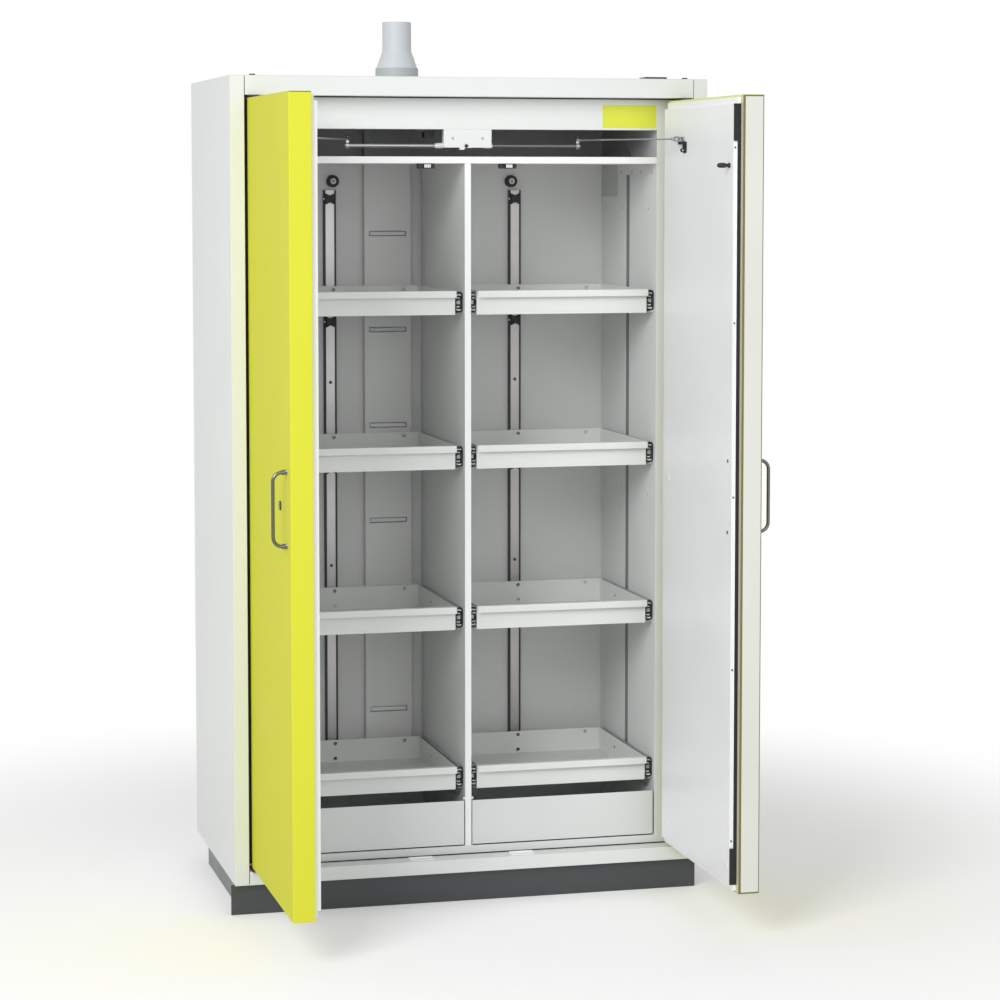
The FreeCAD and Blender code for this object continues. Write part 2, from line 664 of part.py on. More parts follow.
def make_door_catches():
    """A catch with a pale roller block under the ceiling panel, and a plate on the sill, for each door."""
    catch_y = FRAME_Y + CATCH_SETBACK
    pieces = []
    for side in SIDES.values():
        body_x = centred(side * CATCH_X, CATCH_WIDTH)
        body = box(body_x, (catch_y, catch_y + CATCH_DEPTH), (CEILING_Z - CATCH_HEIGHT, CEILING_Z))
        insert_x = centred(side * CATCH_X, CATCH_INSERT_WIDTH)
        insert_z = (CEILING_Z - CATCH_HEIGHT + SHEET, CEILING_Z - 2 * SHEET)
        insert = box(insert_x, (catch_y, catch_y + CATCH_DEPTH / 2), insert_z)
        pieces += [body.cut(insert), insert]
        plate_y = FRONT + SILL_PLATE_SETBACK
        pieces.append(
            box(
                centred(side * SILL_PLATE_X, SILL_PLATE_WIDTH),
                (plate_y, plate_y + SILL_PLATE_DEPTH),
                (SILL_Z, SILL_Z + SILL_PLATE_THICKNESS),
            )
        )
    save("door_catches", pieces)


# Closer, fixed pieces


def make_closer_bracket():
    """The block under the recess shelf, with the sleeves that hold the guide rods, and its two screws."""
    top = RECESS_TOP_Z
    plate = box(
        (-CLOSER_PLATE_HALF_WIDTH, CLOSER_PLATE_HALF_WIDTH),
        (FRAME_Y, FRAME_Y + CLOSER_PLATE_THICKNESS),
        (top - CLOSER_PLATE_HEIGHT, top),
    )
    body = box(
        (-CLOSER_BODY_HALF_WIDTH, CLOSER_BODY_HALF_WIDTH),
        (FRAME_Y, FRAME_Y + CLOSER_PLATE_THICKNESS + CLOSER_BODY_DEPTH),
        (top - CLOSER_PLATE_HEIGHT + CLOSER_PLATE_THICKNESS, top),
    )
    pieces = [joined([plate, body])]
    for side in SIDES.values():
        base = (side * CLOSER_BODY_HALF_WIDTH, ROD_Y, ROD_Z)
        pieces.append(ring(FERRULE_RADIUS, ROD_RADIUS + PIN_CLEARANCE, FERRULE_LENGTH, base, X_AXIS * side))
        screw_z = top - CLOSER_PLATE_HEIGHT / 2
        screw = (side * CLOSER_SCREW_X, FRAME_Y, screw_z)
        pieces.append(cylinder(SCREW_HEAD_RADIUS, SCREW_HEAD_HEIGHT, screw, -Y_AXIS))
    save("closer_bracket", pieces)


def make_guide_rods():
    """A rod to each side of the block, with the collar that stops the slider at the open door."""
    pieces = []
    for side in SIDES.values():
        stop_x = SLIDER_OPEN_X + SLIDER_LENGTH / 2 + TOUCH_GAP
        length = stop_x + ROD_STOP_LENGTH - CLOSER_BODY_HALF_WIDTH
        base = (side * CLOSER_BODY_HALF_WIDTH, ROD_Y, ROD_Z)
        rod = cylinder(ROD_RADIUS, length, base, X_AXIS * side)
        stop = cylinder(ROD_STOP_RADIUS, ROD_STOP_LENGTH, (side * stop_x, ROD_Y, ROD_Z), X_AXIS * side)
        pieces.append(joined([rod, stop]))
    save("guide_rods", pieces)


# Hinges


def make_hinge_brackets():
    """Top and bottom plates with their pins, the washers under the doors, and the covers on the roof."""
    pieces = []
    for side in SIDES.values():
        x = side * PIVOT_X
        plate_x = centred(x, 2 * HINGE_PLATE_HALF_WIDTH)
        plate_y = (FRONT - HINGE_PLATE_OVERHANG, FRAME_Y)
        top_z = FRAME_TOP_Z - HINGE_PLATE_TOP
        top_plate = box(plate_x, plate_y, (top_z, FRAME_TOP_Z))
        top_pin_z = DOOR_TOP_Z - HINGE_PIN_DEPTH
        top_pin = cylinder(HINGE_PIN_RADIUS, FRAME_TOP_Z - top_pin_z, (x, FRONT, top_pin_z), Z_AXIS)
        bottom_z = SILL_Z + HINGE_PLATE_BOTTOM
        bottom_y = (FRONT - HINGE_PLATE_OVERHANG, FRONT + SILL_DEPTH)
        bottom_plate = box(plate_x, bottom_y, (SILL_Z, bottom_z))
        pin_length = DOOR_BOTTOM_Z + HINGE_PIN_DEPTH - SILL_Z
        bottom_pin = cylinder(HINGE_PIN_RADIUS, pin_length, (x, FRONT, SILL_Z), Z_AXIS)
        washer_height = DOOR_BOTTOM_Z - TOUCH_GAP - bottom_z
        washer = ring(
            HINGE_WASHER_RADIUS, HINGE_PIN_RADIUS + PIN_CLEARANCE, washer_height, (x, FRONT, bottom_z), Z_AXIS
        )
        cap = cylinder(HINGE_CAP_RADIUS, HINGE_CAP_HEIGHT, (x, FRONT + HINGE_CAP_SETBACK, HEIGHT), Z_AXIS)
        pieces += [joined([top_plate, top_pin]), joined([bottom_plate, bottom_pin]), washer, cap]
    cover_y = [FRONT + y for y in ROOF_COVER_Y]
    pieces.append(box(ROOF_COVER_X, cover_y, (HEIGHT, HEIGHT + ROOF_COVER_HEIGHT)))
    save("hinge_brackets", pieces)


# Doors


def door_x(side, depth):
    """X of a plane at a depth behind the open door's outer face."""
    return side * (PIVOT_X + PIVOT_FROM_FACE - depth)


def door_y(along):
    """Y of a place along the open door, from its hinge edge."""
    return FRONT + PIVOT_FROM_EDGE - along


def door_box(side, along, depths, heights):
    """A box on the open door, given along it, through it and in height."""
    x_pair = [door_x(side, depth) for depth in depths]
    y_pair = [door_y(place) for place in along]
    return box(x_pair, y_pair, heights)


def inset_box(side, inset, end_inset, depths):
    """A box on the door, set in from its edges and its ends."""
    along = (inset, DOOR_WIDTH - inset)
    return door_box(side, along, depths, (DOOR_BOTTOM_Z + end_inset, DOOR_TOP_Z - end_inset))


def door_peg(side, radius, along, z, depths):
    """A round peg through the door's thickness."""
    start = min(depths)
    base = (door_x(side, start), door_y(along), z)
    return cylinder(radius, max(depths) - start, base, -X_AXIS * side)


def door_slab(side, inset, depths):
    """The door's box, or its hollow when set in by the sheet, with its outer corners rounded."""
    slab = inset_box(side, inset, inset, depths)
    face_x = door_x(side, min(depths))
    corners = {
        (face_x, door_y(inset)): HINGE_CORNER_RADIUS - inset,
        (face_x, door_y(DOOR_WIDTH - inset)): FREE_CORNER_RADIUS - inset,
    }
    return rounded(slab, corners)


def hinge_blocks(side):
    """The drilled blocks inside the door's corners that turn on the hinge pins."""
    along = centred(PIVOT_FROM_EDGE, HINGE_BLOCK_WIDTH)
    depths = (SHEET, SHEET + HINGE_BLOCK_DEPTH)
    levels = (
        (DOOR_BOTTOM_Z + SHEET, DOOR_BOTTOM_Z + SHEET + HINGE_BLOCK_HEIGHT),
        (DOOR_TOP_Z - SHEET - HINGE_BLOCK_HEIGHT, DOOR_TOP_Z - SHEET),
    )
    hollow = door_slab(side, SHEET, (SHEET, DOOR_THICKNESS - SHEET))
    return [door_box(side, along, depths, heights).common(hollow) for heights in levels]


def lock_case(side):
    along = centred(DOOR_WIDTH - LOCK_FROM_FREE_EDGE, LOCK_CASE_WIDTH)
    heights = centred(HANDLE_CENTRE_Z, LOCK_CASE_HEIGHT)
    return door_box(side, along, (SHEET, SHEET + LOCK_CASE_DEPTH), heights)


def lock_peg(side, radius, depths):
    return door_peg(side, radius, DOOR_WIDTH - LOCK_FROM_FREE_EDGE, HANDLE_CENTRE_Z, depths)


def make_door_skin(name, side):
    """The outer steel tray of a door, with a flange round its back for the liner."""
    flange_depth = DOOR_THICKNESS - SHEET
    skin = door_slab(side, 0, (0, DOOR_THICKNESS))
    window = inset_box(
        side, LINER_INSET + LINER_FLANGE, LINER_END_INSET + LINER_FLANGE, (flange_depth, DOOR_THICKNESS)
    )
    pin_hole = cylinder(
        HINGE_PIN_RADIUS + HINGE_HOLE_MARGIN, HEIGHT, (side * PIVOT_X, FRONT, 0), Z_AXIS
    )
    cuts = [door_slab(side, SHEET, (SHEET, flange_depth)), window, pin_hole]
    if name == "left":
        cuts.append(lock_peg(side, LOCK_RADIUS + PIN_CLEARANCE, (0, SHEET)))
    save(f"door_skin_{name}", [skin.cut(cuts)])


def liner_steps(side, sheet):
    """The two raised steps of a liner, or their hollow when set in by the sheet."""
    first = DOOR_THICKNESS + LINER_STEP - sheet
    second = DOOR_THICKNESS + 2 * LINER_STEP - sheet
    return [
        inset_box(side, LINER_INSET + sheet, LINER_END_INSET + sheet, (DOOR_THICKNESS, first)),
        inset_box(
            side,
            LINER_INSET + LINER_STEP_INSET + sheet,
            LINER_END_INSET + LINER_STEP_END_INSET + sheet,
            (first, second),
        ),
    ]


def make_door_core(name, side):
    """The insulation inside a door, cut round the hinge blocks and the lock case."""
    window = inset_box(
        side,
        LINER_INSET + LINER_FLANGE,
        LINER_END_INSET + LINER_FLANGE,
        (DOOR_THICKNESS - SHEET, DOOR_THICKNESS),
    )
    filling = [door_slab(side, SHEET, (SHEET, DOOR_THICKNESS - SHEET)), window]
    core = joined(filling + liner_steps(side, SHEET))
    cuts = hinge_blocks(side)
    if name == "left":
        cuts.append(lock_case(side))
    save(f"door_core_{name}", [core.cut(cuts)])


def make_door_liner(name, side):
    """The pressed inner sheet of a door, in two steps."""
    solid = joined(liner_steps(side, 0))
    save(f"door_liner_{name}", [solid.cut(liner_steps(side, SHEET))])


def make_door_seal(name, side):
    """A strip beside the first step: hinge side on the left door, free side with end blocks on the right."""
    depths = (DOOR_THICKNESS, DOOR_THICKNESS + LINER_STEP)
    end_inset = LINER_END_INSET + LINER_STEP_END_INSET
    low = DOOR_BOTTOM_Z + end_inset
    high = DOOR_TOP_Z - end_inset
    if name == "left":
        along = (LINER_INSET - SEAL_THICKNESS, LINER_INSET)
        pieces = [door_box(side, along, depths, (low, high))]
    else:
        free = DOOR_WIDTH - LINER_INSET
        pieces = [door_box(side, (free, free + SEAL_THICKNESS), depths, (low, high))]
        along = (free - LINER_STEP_INSET, free + SEAL_THICKNESS)
        through = (DOOR_THICKNESS + LINER_STEP, DOOR_INNER)
        pieces.append(door_box(side, along, through, (low, low + SEAL_BLOCK_HEIGHT)))
        pieces.append(door_box(side, along, through, (high - SEAL_BLOCK_HEIGHT, high)))
    save(f"door_seal_{name}", pieces)


def make_end_strip():
    """The pale strip on the right door's end face."""
    side = SIDES["right"]
    depths = (END_STRIP_FROM_FACE, END_STRIP_FROM_FACE + END_STRIP_WIDTH)
    along = (DOOR_WIDTH, DOOR_WIDTH + END_STRIP_THICKNESS)
    heights = (DOOR_BOTTOM_Z + END_STRIP_END_GAP, DOOR_TOP_Z - END_STRIP_END_GAP)
    save("door_end_strip_right", [door_box(side, along, depths, heights)])


def make_handle(name, side):
    """A round bar bent to a bow, standing off the door's outer face."""
    y = door_y(DOOR_WIDTH - HANDLE_FROM_FREE_EDGE)

    def at(out, up):
        return FreeCAD.Vector(door_x(side, -out), y, HANDLE_CENTRE_Z + up)

    bend = HANDLE_BEND_RADIUS
    reach = HANDLE_STANDOFF
    half = HANDLE_PITCH / 2
    middle_out = reach - bend + bend * math.sin(math.radians(45))
    middle_up = half - bend + bend * math.sin(math.radians(45))
    edges = [
        Part.LineSegment(at(0, half), at(reach - bend, half)),
        Part.Arc(at(reach - bend, half), at(middle_out, middle_up), at(reach, half - bend)),
        Part.LineSegment(at(reach, half - bend), at(reach, bend - half)),
        Part.Arc(at(reach, bend - half), at(middle_out, -middle_up), at(reach - bend, -half)),
        Part.LineSegment(at(reach - bend, -half), at(0, -half)),
    ]
    path = Part.Wire([edge.toShape() for edge in edges])
    section = Part.Wire([Part.Circle(at(0, half), X_AXIS, HANDLE_BAR_RADIUS).toShape()])
    save(f"handle_{name}", [path.makePipeShell([section], True, False)])


def make_lock_barrel():
    """The round lock of the left door, with its keyway."""
    side = SIDES["left"]
    barrel = lock_peg(side, LOCK_RADIUS, (-LOCK_PROUD, LOCK_LENGTH - LOCK_PROUD))
    keyway = door_box(
        side,
        centred(DOOR_WIDTH - LOCK_FROM_FREE_EDGE, KEYWAY_WIDTH),
        (-LOCK_PROUD, KEYWAY_DEPTH - LOCK_PROUD),
        centred(HANDLE_CENTRE_Z, KEYWAY_LENGTH),
    )
    save("lock_barrel", [barrel.cut(keyway)])


def closer_ear(side):
    """The plate and lug on the door's inner face that carry the closer arm's pin."""
    pin_x = door_x(side, DOOR_INNER + ARM_PIN_FROM_LINER)
    pin_y = FRONT - ARM_PIN_FROM_PIVOT
    pin_along = PIVOT_FROM_EDGE + ARM_PIN_FROM_PIVOT
    arm_low = ARM_Z - ARM_THICKNESS / 2
    arm_high = ARM_Z + ARM_THICKNESS / 2
    lug_z = (arm_low - TOUCH_GAP - ARM_LUG_HEIGHT, arm_low - TOUCH_GAP)
    plate_z = (arm_high - ARM_PLATE_HEIGHT, arm_high)
    plate_along = (pin_along - ARM_LUG_WIDTH / 2, pin_along - ARM_LUG_WIDTH / 2 + ARM_PLATE_LENGTH)
    plate = door_box(side, plate_along, (DOOR_INNER, DOOR_INNER + ARM_PLATE_THICKNESS), plate_z)
    lug_depths = (DOOR_INNER, DOOR_INNER + ARM_PIN_FROM_LINER + ARM_PIN_RADIUS)
    lug = door_box(side, centred(pin_along, ARM_LUG_WIDTH), lug_depths, lug_z)
    pin_top = arm_high + TOUCH_GAP
    pin = cylinder(ARM_PIN_RADIUS, pin_top - lug_z[0], (pin_x, pin_y, lug_z[0]), Z_AXIS)
    head = cylinder(ARM_LUG_WIDTH / 2, SHEET, (pin_x, pin_y, pin_top), Z_AXIS)
    return joined([plate, lug, pin, head])


def latch_peg(side):
    """A pointed peg that runs in under the ceiling panel as the door closes."""
    along = centred(DOOR_WIDTH - LATCH_FROM_FREE_EDGE, LATCH_WIDTH)
    top = CEILING_Z - LATCH_BELOW_CEILING
    low = top - LATCH_HEIGHT
    root_x = door_x(side, DOOR_INNER)
    shoulder_x = door_x(side, DOOR_INNER + LATCH_REACH - LATCH_TIP_LENGTH)
    tip_x = door_x(side, DOOR_INNER + LATCH_REACH)
    y = door_y(along[1])
    outline = [
        (root_x, y, low),
        (root_x, y, top),
        (shoulder_x, y, top),
        (tip_x, y, (low + top) / 2),
        (shoulder_x, y, low),
    ]
    return prism(outline, Y_AXIS * LATCH_WIDTH)


def make_door_fittings(name, side):
    """Hinge blocks, closer ear, handle screws and buffers of one door, and its lock case or latch peg."""
    pin_bore = cylinder(
        HINGE_PIN_RADIUS + PIN_CLEARANCE, HEIGHT, (side * PIVOT_X, FRONT, 0), Z_AXIS
    )
    pieces = [block.cut(pin_bore) for block in hinge_blocks(side)]
    pieces.append(closer_ear(side))
    screw_depths = (DOOR_INNER, DOOR_INNER + SCREW_HEAD_HEIGHT)
    for z in centred(HANDLE_CENTRE_Z, HANDLE_PITCH):
        pieces.append(
            door_peg(side, SCREW_HEAD_RADIUS, DOOR_WIDTH - HANDLE_FROM_FREE_EDGE, z, screw_depths)
        )
    buffer_depths = (DOOR_INNER, DOOR_INNER + BUFFER_HEIGHT)
    inset = LINER_INSET + BUFFER_FROM_EDGE
    low = DOOR_BOTTOM_Z + BUFFER_ABOVE_DOOR_BOTTOM
    places = (
        (LINER_INSET + BUFFER_NEAR_HINGE, HANDLE_CENTRE_Z),
        (LINER_INSET + BUFFER_NEAR_HINGE, low),
        (DOOR_WIDTH - inset, low),
    )
    for along, z in places:
        pieces.append(door_peg(side, BUFFER_RADIUS, along, z, buffer_depths))
    if name == "left":
        bore = lock_peg(side, LOCK_RADIUS + PIN_CLEARANCE, (0, DOOR_THICKNESS))
        pieces.append(lock_case(side).cut(bore))
    else:
        pieces.append(latch_peg(side))
    save(f"door_fittings_{name}", pieces)


# Closer, moving pieces


def make_closer_arm(name, side):
    """The thin arm from the door's pin to the knuckle over the slider."""
    start = FreeCAD.Vector(
        door_x(side, DOOR_INNER + ARM_PIN_FROM_LINER), FRONT - ARM_PIN_FROM_PIVOT, ARM_Z
    )
    end = FreeCAD.Vector(side * SLIDER_OPEN_X, ROD_Y, ARM_Z)
    low = ARM_Z - ARM_THICKNESS / 2
    bar = Part.makeCylinder(ARM_BAR_RADIUS, (end - start).Length, start, end - start)
    eye = cylinder(ARM_EYE_RADIUS, ARM_THICKNESS, (start.x, start.y, low), Z_AXIS)
    hole = cylinder(ARM_PIN_RADIUS + PIN_CLEARANCE, ARM_THICKNESS, (start.x, start.y, low), Z_AXIS)
    knuckle = cylinder(ARM_KNUCKLE_RADIUS, ARM_KNUCKLE_HEIGHT, (end.x, end.y, low), Z_AXIS)
    save(f"closer_arm_{name}", [joined([bar, eye, knuckle]).cut(hole)])


def make_closer_slider(name, side):
    """The sleeve on the guide rod, with a pad just under the arm's knuckle."""
    x = side * SLIDER_OPEN_X
    base = (x - side * SLIDER_LENGTH / 2, ROD_Y, ROD_Z)
    bore = cylinder(ROD_RADIUS + PIN_CLEARANCE, SLIDER_LENGTH, base, X_AXIS * side)
    sleeve = cylinder(SLIDER_RADIUS, SLIDER_LENGTH, base, X_AXIS * side)
    pad_top = ARM_Z - ARM_THICKNESS / 2 - TOUCH_GAP
    pad = box(centred(x, SLIDER_PAD), centred(ROD_Y, SLIDER_PAD), (ROD_Z, pad_top))
    save(f"closer_slider_{name}", [joined([sleeve, pad]).cut(bore)])


# Slides and trays


def slide_section(outline, side, mount_x, inward, rim, y_pair):
    """A slide member: its outline is given as (reach from the wall, height from the middle)."""
    middle_z = rim - SLIDE_BELOW_RIM - SLIDE_HEIGHT / 2
    points = [(side * (mount_x + inward * reach), y_pair[0], middle_z + up) for reach, up in outline]
    return prism(points, Y_AXIS * (y_pair[1] - y_pair[0]))


def channel(web, edge, half_height, web_sheet, flange_sheet):
    """Outline of a channel from its web's outer face to its flanges' ends, lying open to the right."""
    step = math.copysign(web_sheet, edge - web)
    return [
        (web, -half_height),
        (edge, -half_height),
        (edge, flange_sheet - half_height),
        (web + step, flange_sheet - half_height),
        (web + step, half_height - flange_sheet),
        (edge, half_height - flange_sheet),
        (edge, half_height),
        (web, half_height),
    ]


def slide_outlines():
    """Outlines of the fixed, middle and inner members, nested with a running gap between them."""
    fixed_half = SLIDE_HEIGHT / 2
    middle_half = fixed_half - SLIDE_FIXED_SHEET - SLIDE_GAP
    inner_half = middle_half - SLIDE_MIDDLE_HEAD - SLIDE_GAP
    return {
        "fixed": channel(0, SLIDE_FIXED_REACH, fixed_half, SLIDE_FIXED_SHEET, SLIDE_FIXED_SHEET),
        "middle": channel(
            SLIDE_MIDDLE_OFFSET, SLIDE_MIDDLE_REACH, middle_half, SLIDE_MIDDLE_WEB, SLIDE_MIDDLE_HEAD
        ),
        "inner": channel(
            SLIDE_WIDTH, SLIDE_INNER_OFFSET, inner_half, SLIDE_INNER_SHEET, SLIDE_INNER_SHEET
        ),
    }


def slide_pair(kind, side, rim):
    """One member of both slides of a tray: at the outer wall and at the partition."""
    outline = slide_outlines()[kind]
    y_pair = (SLIDE_START_Y, SLIDE_END_Y)
    return [
        slide_section(outline, side, INNER_X, -1, rim, y_pair),
        slide_section(outline, side, HALF_PARTITION, 1, rim, y_pair),
    ]


def make_fixed_slides():
    pieces = []
    for side in SIDES.values():
        for rim in tray_rims():
            pieces += slide_pair("fixed", side, rim)
    save("fixed_slides", pieces)


def tray_pan(side, rim):
    """A folded pan with a grip lip along its front, and small holes in its back and sides."""
    outer_x = (side * TRAY_INNER_X, side * TRAY_OUTER_X)
    inner_x = (side * (TRAY_INNER_X + SHEET), side * (TRAY_OUTER_X - SHEET))
    bottom = rim - TRAY_HEIGHT
    body = box(outer_x, (TRAY_FRONT_Y, TRAY_BACK_Y), (bottom, rim))
    hollow = box(inner_x, (TRAY_FRONT_Y + SHEET, TRAY_BACK_Y - SHEET), (bottom + SHEET, rim))
    lip_top = box(outer_x, (TRAY_LIP_Y, TRAY_FRONT_Y), (rim - SHEET, rim))
    lip_face = box(outer_x, (TRAY_LIP_Y, TRAY_LIP_Y + SHEET), (rim - TRAY_LIP_HEIGHT, rim))
    middle = side * (TRAY_INNER_X + TRAY_OUTER_X) / 2 + TRAY_HOLE_SHIFT
    back_holes = [
        (middle, rim - TRAY_HOLE_DROP),
        (middle + TRAY_HOLE_SPACING, rim - TRAY_HOLE_DROP),
        (middle - TRAY_HOLE_SPACING, rim - TRAY_HOLE_DROP),
        (middle, rim - TRAY_LOW_HOLE_DROP),
    ]
    cuts = [cylinder(TRAY_HOLE_RADIUS, SHEET, (x, TRAY_BACK_Y, z), -Y_AXIS) for x, z in back_holes]
    slot_y = centred(TRAY_FRONT_Y + TRAY_SLOT_FROM_FRONT, TRAY_SLOT_LENGTH)
    slot_z = centred(rim - TRAY_SLOT_DROP, TRAY_SLOT_HEIGHT)
    cuts.append(box(outer_x, slot_y, slot_z))
    return joined([body.cut(hollow), lip_top, lip_face]).cut(cuts)


def make_trays():
    """Eight trays, numbered from the bottom, each with the inner members of its two slides."""
    for name, side in SIDES.items():
        for number, rim in enumerate(tray_rims(), start=1):
            pieces = [tray_pan(side, rim)] + slide_pair("inner", side, rim)
            save(f"tray_{name}_{number}", pieces)
            save(f"slide_middle_{name}_{number}", slide_pair("middle", side, rim))


def make_sumps():
    """The deep trays on the floor of each column."""
    bottom = FLOOR_Z + TOUCH_GAP
    for name, side in SIDES.items():
        near = HALF_PARTITION + SUMP_PARTITION_GAP
        far = INNER_X - SUMP_SIDE_GAP
        back_y = LINER_BACK_Y - DUCT_DEPTH - SUMP_DUCT_GAP
        top = FLOOR_Z + SUMP_HEIGHT
        outer = box((side * near, side * far), (FRAME_Y, back_y), (bottom, top))
        hollow = box(
            (side * (near + SHEET), side * (far - SHEET)),
            (FRAME_Y + SHEET, back_y - SHEET),
            (bottom + SHEET, top),
        )
        save(f"sump_{name}", [outer.cut(hollow)])


def main():
    os.makedirs("parts", exist_ok=True)
    make_side_panels()
    make_back_panel()
    make_top_panel()
    make_base_panel()
    make_top_fascia()
    make_door_frame()
    make_plinth()
    make_levelling_feet()
    make_inner_liner()
    make_side_wall_panels()
    make_ceiling_panel()
    make_insulation_boards()
    make_partition()
    make_air_duct()
    make_exhaust_collar()
    make_rear_rails()
    make_rail_clips()
    make_sign_plate()
    make_door_catches()
    make_closer_bracket()
    make_guide_rods()
    make_hinge_brackets()
    for name, side in SIDES.items():
        make_door_skin(name, side)
        make_door_core(name, side)
        make_door_liner(name, side)
        make_door_seal(name, side)
        make_handle(name, side)
        make_door_fittings(name, side)
        make_closer_arm(name, side)
        make_closer_slider(name, side)
    make_end_strip()
    make_lock_barrel()
    make_fixed_slides()
    make_trays()
    make_sumps()


main()
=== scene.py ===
import json
import math

import bmesh
import bpy
from mathutils import Euler, Matrix, Vector


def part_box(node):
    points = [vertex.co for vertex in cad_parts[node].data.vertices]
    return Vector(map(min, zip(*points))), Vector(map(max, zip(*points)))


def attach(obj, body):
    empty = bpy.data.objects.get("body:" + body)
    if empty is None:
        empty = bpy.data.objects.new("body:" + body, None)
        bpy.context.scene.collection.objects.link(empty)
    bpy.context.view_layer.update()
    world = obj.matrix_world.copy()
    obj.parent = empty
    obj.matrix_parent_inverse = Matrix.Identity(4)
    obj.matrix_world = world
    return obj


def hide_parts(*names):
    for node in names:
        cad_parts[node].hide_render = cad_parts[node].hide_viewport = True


# Looks of a yellow-doored safety cabinet, with a light casing, grey inside and pull-out trays.
# The scene is in metres. Sizes written here are in millimetres, and MM makes metres of them.
# The cabinet faces -Y and both doors stand open.

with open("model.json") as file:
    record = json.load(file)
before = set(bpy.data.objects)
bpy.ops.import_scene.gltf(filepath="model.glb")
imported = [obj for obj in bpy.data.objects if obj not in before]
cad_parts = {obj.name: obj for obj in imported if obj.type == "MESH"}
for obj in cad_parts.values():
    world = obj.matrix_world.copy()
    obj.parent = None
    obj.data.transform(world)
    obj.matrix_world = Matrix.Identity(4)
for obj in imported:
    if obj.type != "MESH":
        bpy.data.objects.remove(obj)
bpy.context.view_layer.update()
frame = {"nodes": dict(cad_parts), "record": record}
slots = {row["node"]: row["material_slot"] for row in frame["record"]["subparts"]}

MM = 0.001
SIDES = {"left": -1, "right": 1}
TRAYS = (1, 2, 3, 4)
UP = (0, 0, 1)
FORWARD = (0, -1, 0)

# Merging and rounding of the sheet-metal pieces
MERGE = 0.01 * MM
FLAT_ANGLE = math.radians(0.5)
EDGE_ANGLE = math.radians(32)


def tint(red, green, blue):
    """A linear colour from the 0 to 255 values that a screen shows."""
    parts = [value / 255 for value in (red, green, blue)]
    linear = [p / 12.92 if p <= 0.04045 else ((p + 0.055) / 1.055) ** 2.4 for p in parts]
    return (*linear, 1.0)


def corners_of(node):
    """A node's lowest and highest corners in millimetres."""
    return [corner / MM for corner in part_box(node)]


def low_of(node):
    return corners_of(node)[0]


def high_of(node):
    return corners_of(node)[1]


# Shader nodes and groups

# The span that soft noise mostly keeps to
SOFT_SPAN = (0.3, 0.7)


def add(tree, kind, inputs=None, family="Shader", **settings):
    """A node with its settings and inputs. An input is a value or another node's output."""
    node = tree.nodes.new(f"{family}Node{kind}")
    for key, value in settings.items():
        setattr(node, key, value)
    for key, value in (inputs or {}).items():
        if isinstance(value, bpy.types.NodeSocket):
            tree.links.new(value, node.inputs[key])
        else:
            node.inputs[key].default_value = value
    return node


def maths(tree, operation, *values):
    """The result of a sum on one, two or three values."""
    return add(tree, "Math", dict(enumerate(values)), operation=operation).outputs[0]


def mapped(tree, value, low, high, new_low=0.0, new_high=1.0):
    """A value brought from one span to another, and kept inside it."""
    spans = {"From Min": low, "From Max": high, "To Min": new_low, "To Max": new_high}
    return add(tree, "MapRange", {"Value": value, **spans}).outputs["Result"]


def noise(tree, place, scale, detail=2.0):
    """Soft noise about one half, from a place and a scale."""
    return add(tree, "TexNoise", {"Vector": place, "Scale": scale, "Detail": detail}).outputs["Fac"]


def object_place(tree):
    return add(tree, "TexCoord").outputs["Object"]


def new_group(name, inputs, output, kind="Float"):
    """A shader group with one output: its tree, its inputs and the socket of its output."""
    tree = bpy.data.node_groups.new(name, "ShaderNodeTree")
    for label, input_kind, value in inputs:
        socket = tree.interface.new_socket(name=label, in_out="INPUT", socket_type=f"NodeSocket{input_kind}")
        socket.default_value = value
    tree.interface.new_socket(name=output, in_out="OUTPUT", socket_type=f"NodeSocket{kind}")
    return tree, tree.nodes.new("NodeGroupInput").outputs, tree.nodes.new("NodeGroupOutput").inputs[0]


def make_drift_group():
    """A value that wanders slowly between two limits."""
    inputs = [("Scale", "Float", 4.0), ("Low", "Float", 0.3), ("High", "Float", 0.5)]
    tree, given, result = new_group("Slow drift", inputs, "Value")
    soft = noise(tree, object_place(tree), given["Scale"], 4.0)
    tree.links.new(mapped(tree, soft, *SOFT_SPAN, given["Low"], given["High"]), result)
    return tree


def make_tone_group():
    """A colour that is a little lighter and darker from place to place."""
    inputs = [("Colour", "Color", (0.5, 0.5, 0.5, 1)), ("Scale", "Float", 3.0), ("Amount", "Float", 0.03)]
    tree, given, result = new_group("Tone drift", inputs, "Colour", "Color")
    soft = noise(tree, object_place(tree), given["Scale"], 3.0)
    low = maths(tree, "SUBTRACT", 1.0, given["Amount"])
    high = maths(tree, "ADD", 1.0, given["Amount"])
    factor = mapped(tree, soft, *SOFT_SPAN, low, high)
    shade = add(tree, "VectorMath", {0: given["Colour"], "Scale": factor}, operation="SCALE")
    tree.links.new(shade.outputs["Vector"], result)
    return tree


def make_peel_group():
    """The fine dimpled skin of powder paint: a height of 0 to 1."""
    tree, given, result = new_group("Paint peel", [("Scale", "Float", 700.0)], "Height")
    place = object_place(tree)
    broad = noise(tree, place, given["Scale"], 1.0)
    fine = noise(tree, place, maths(tree, "MULTIPLY", given["Scale"], 3.0), 0.0)
    tree.links.new(maths(tree, "MULTIPLY_ADD", fine, 0.35, broad), result)
    return tree


def make_brush_group():
    """Fine lines along one direction, from a place stretched by a vector: a value of 0 to 1."""
    tree, given, result = new_group("Brushed lines", [("Stretch", "Vector", (400.0, 400.0, 4.0))], "Lines")
    place = add(tree, "VectorMath", {0: object_place(tree), 1: given["Stretch"]}, operation="MULTIPLY")
    tree.links.new(noise(tree, place.outputs["Vector"], 1.0, 3.0), result)
    return tree


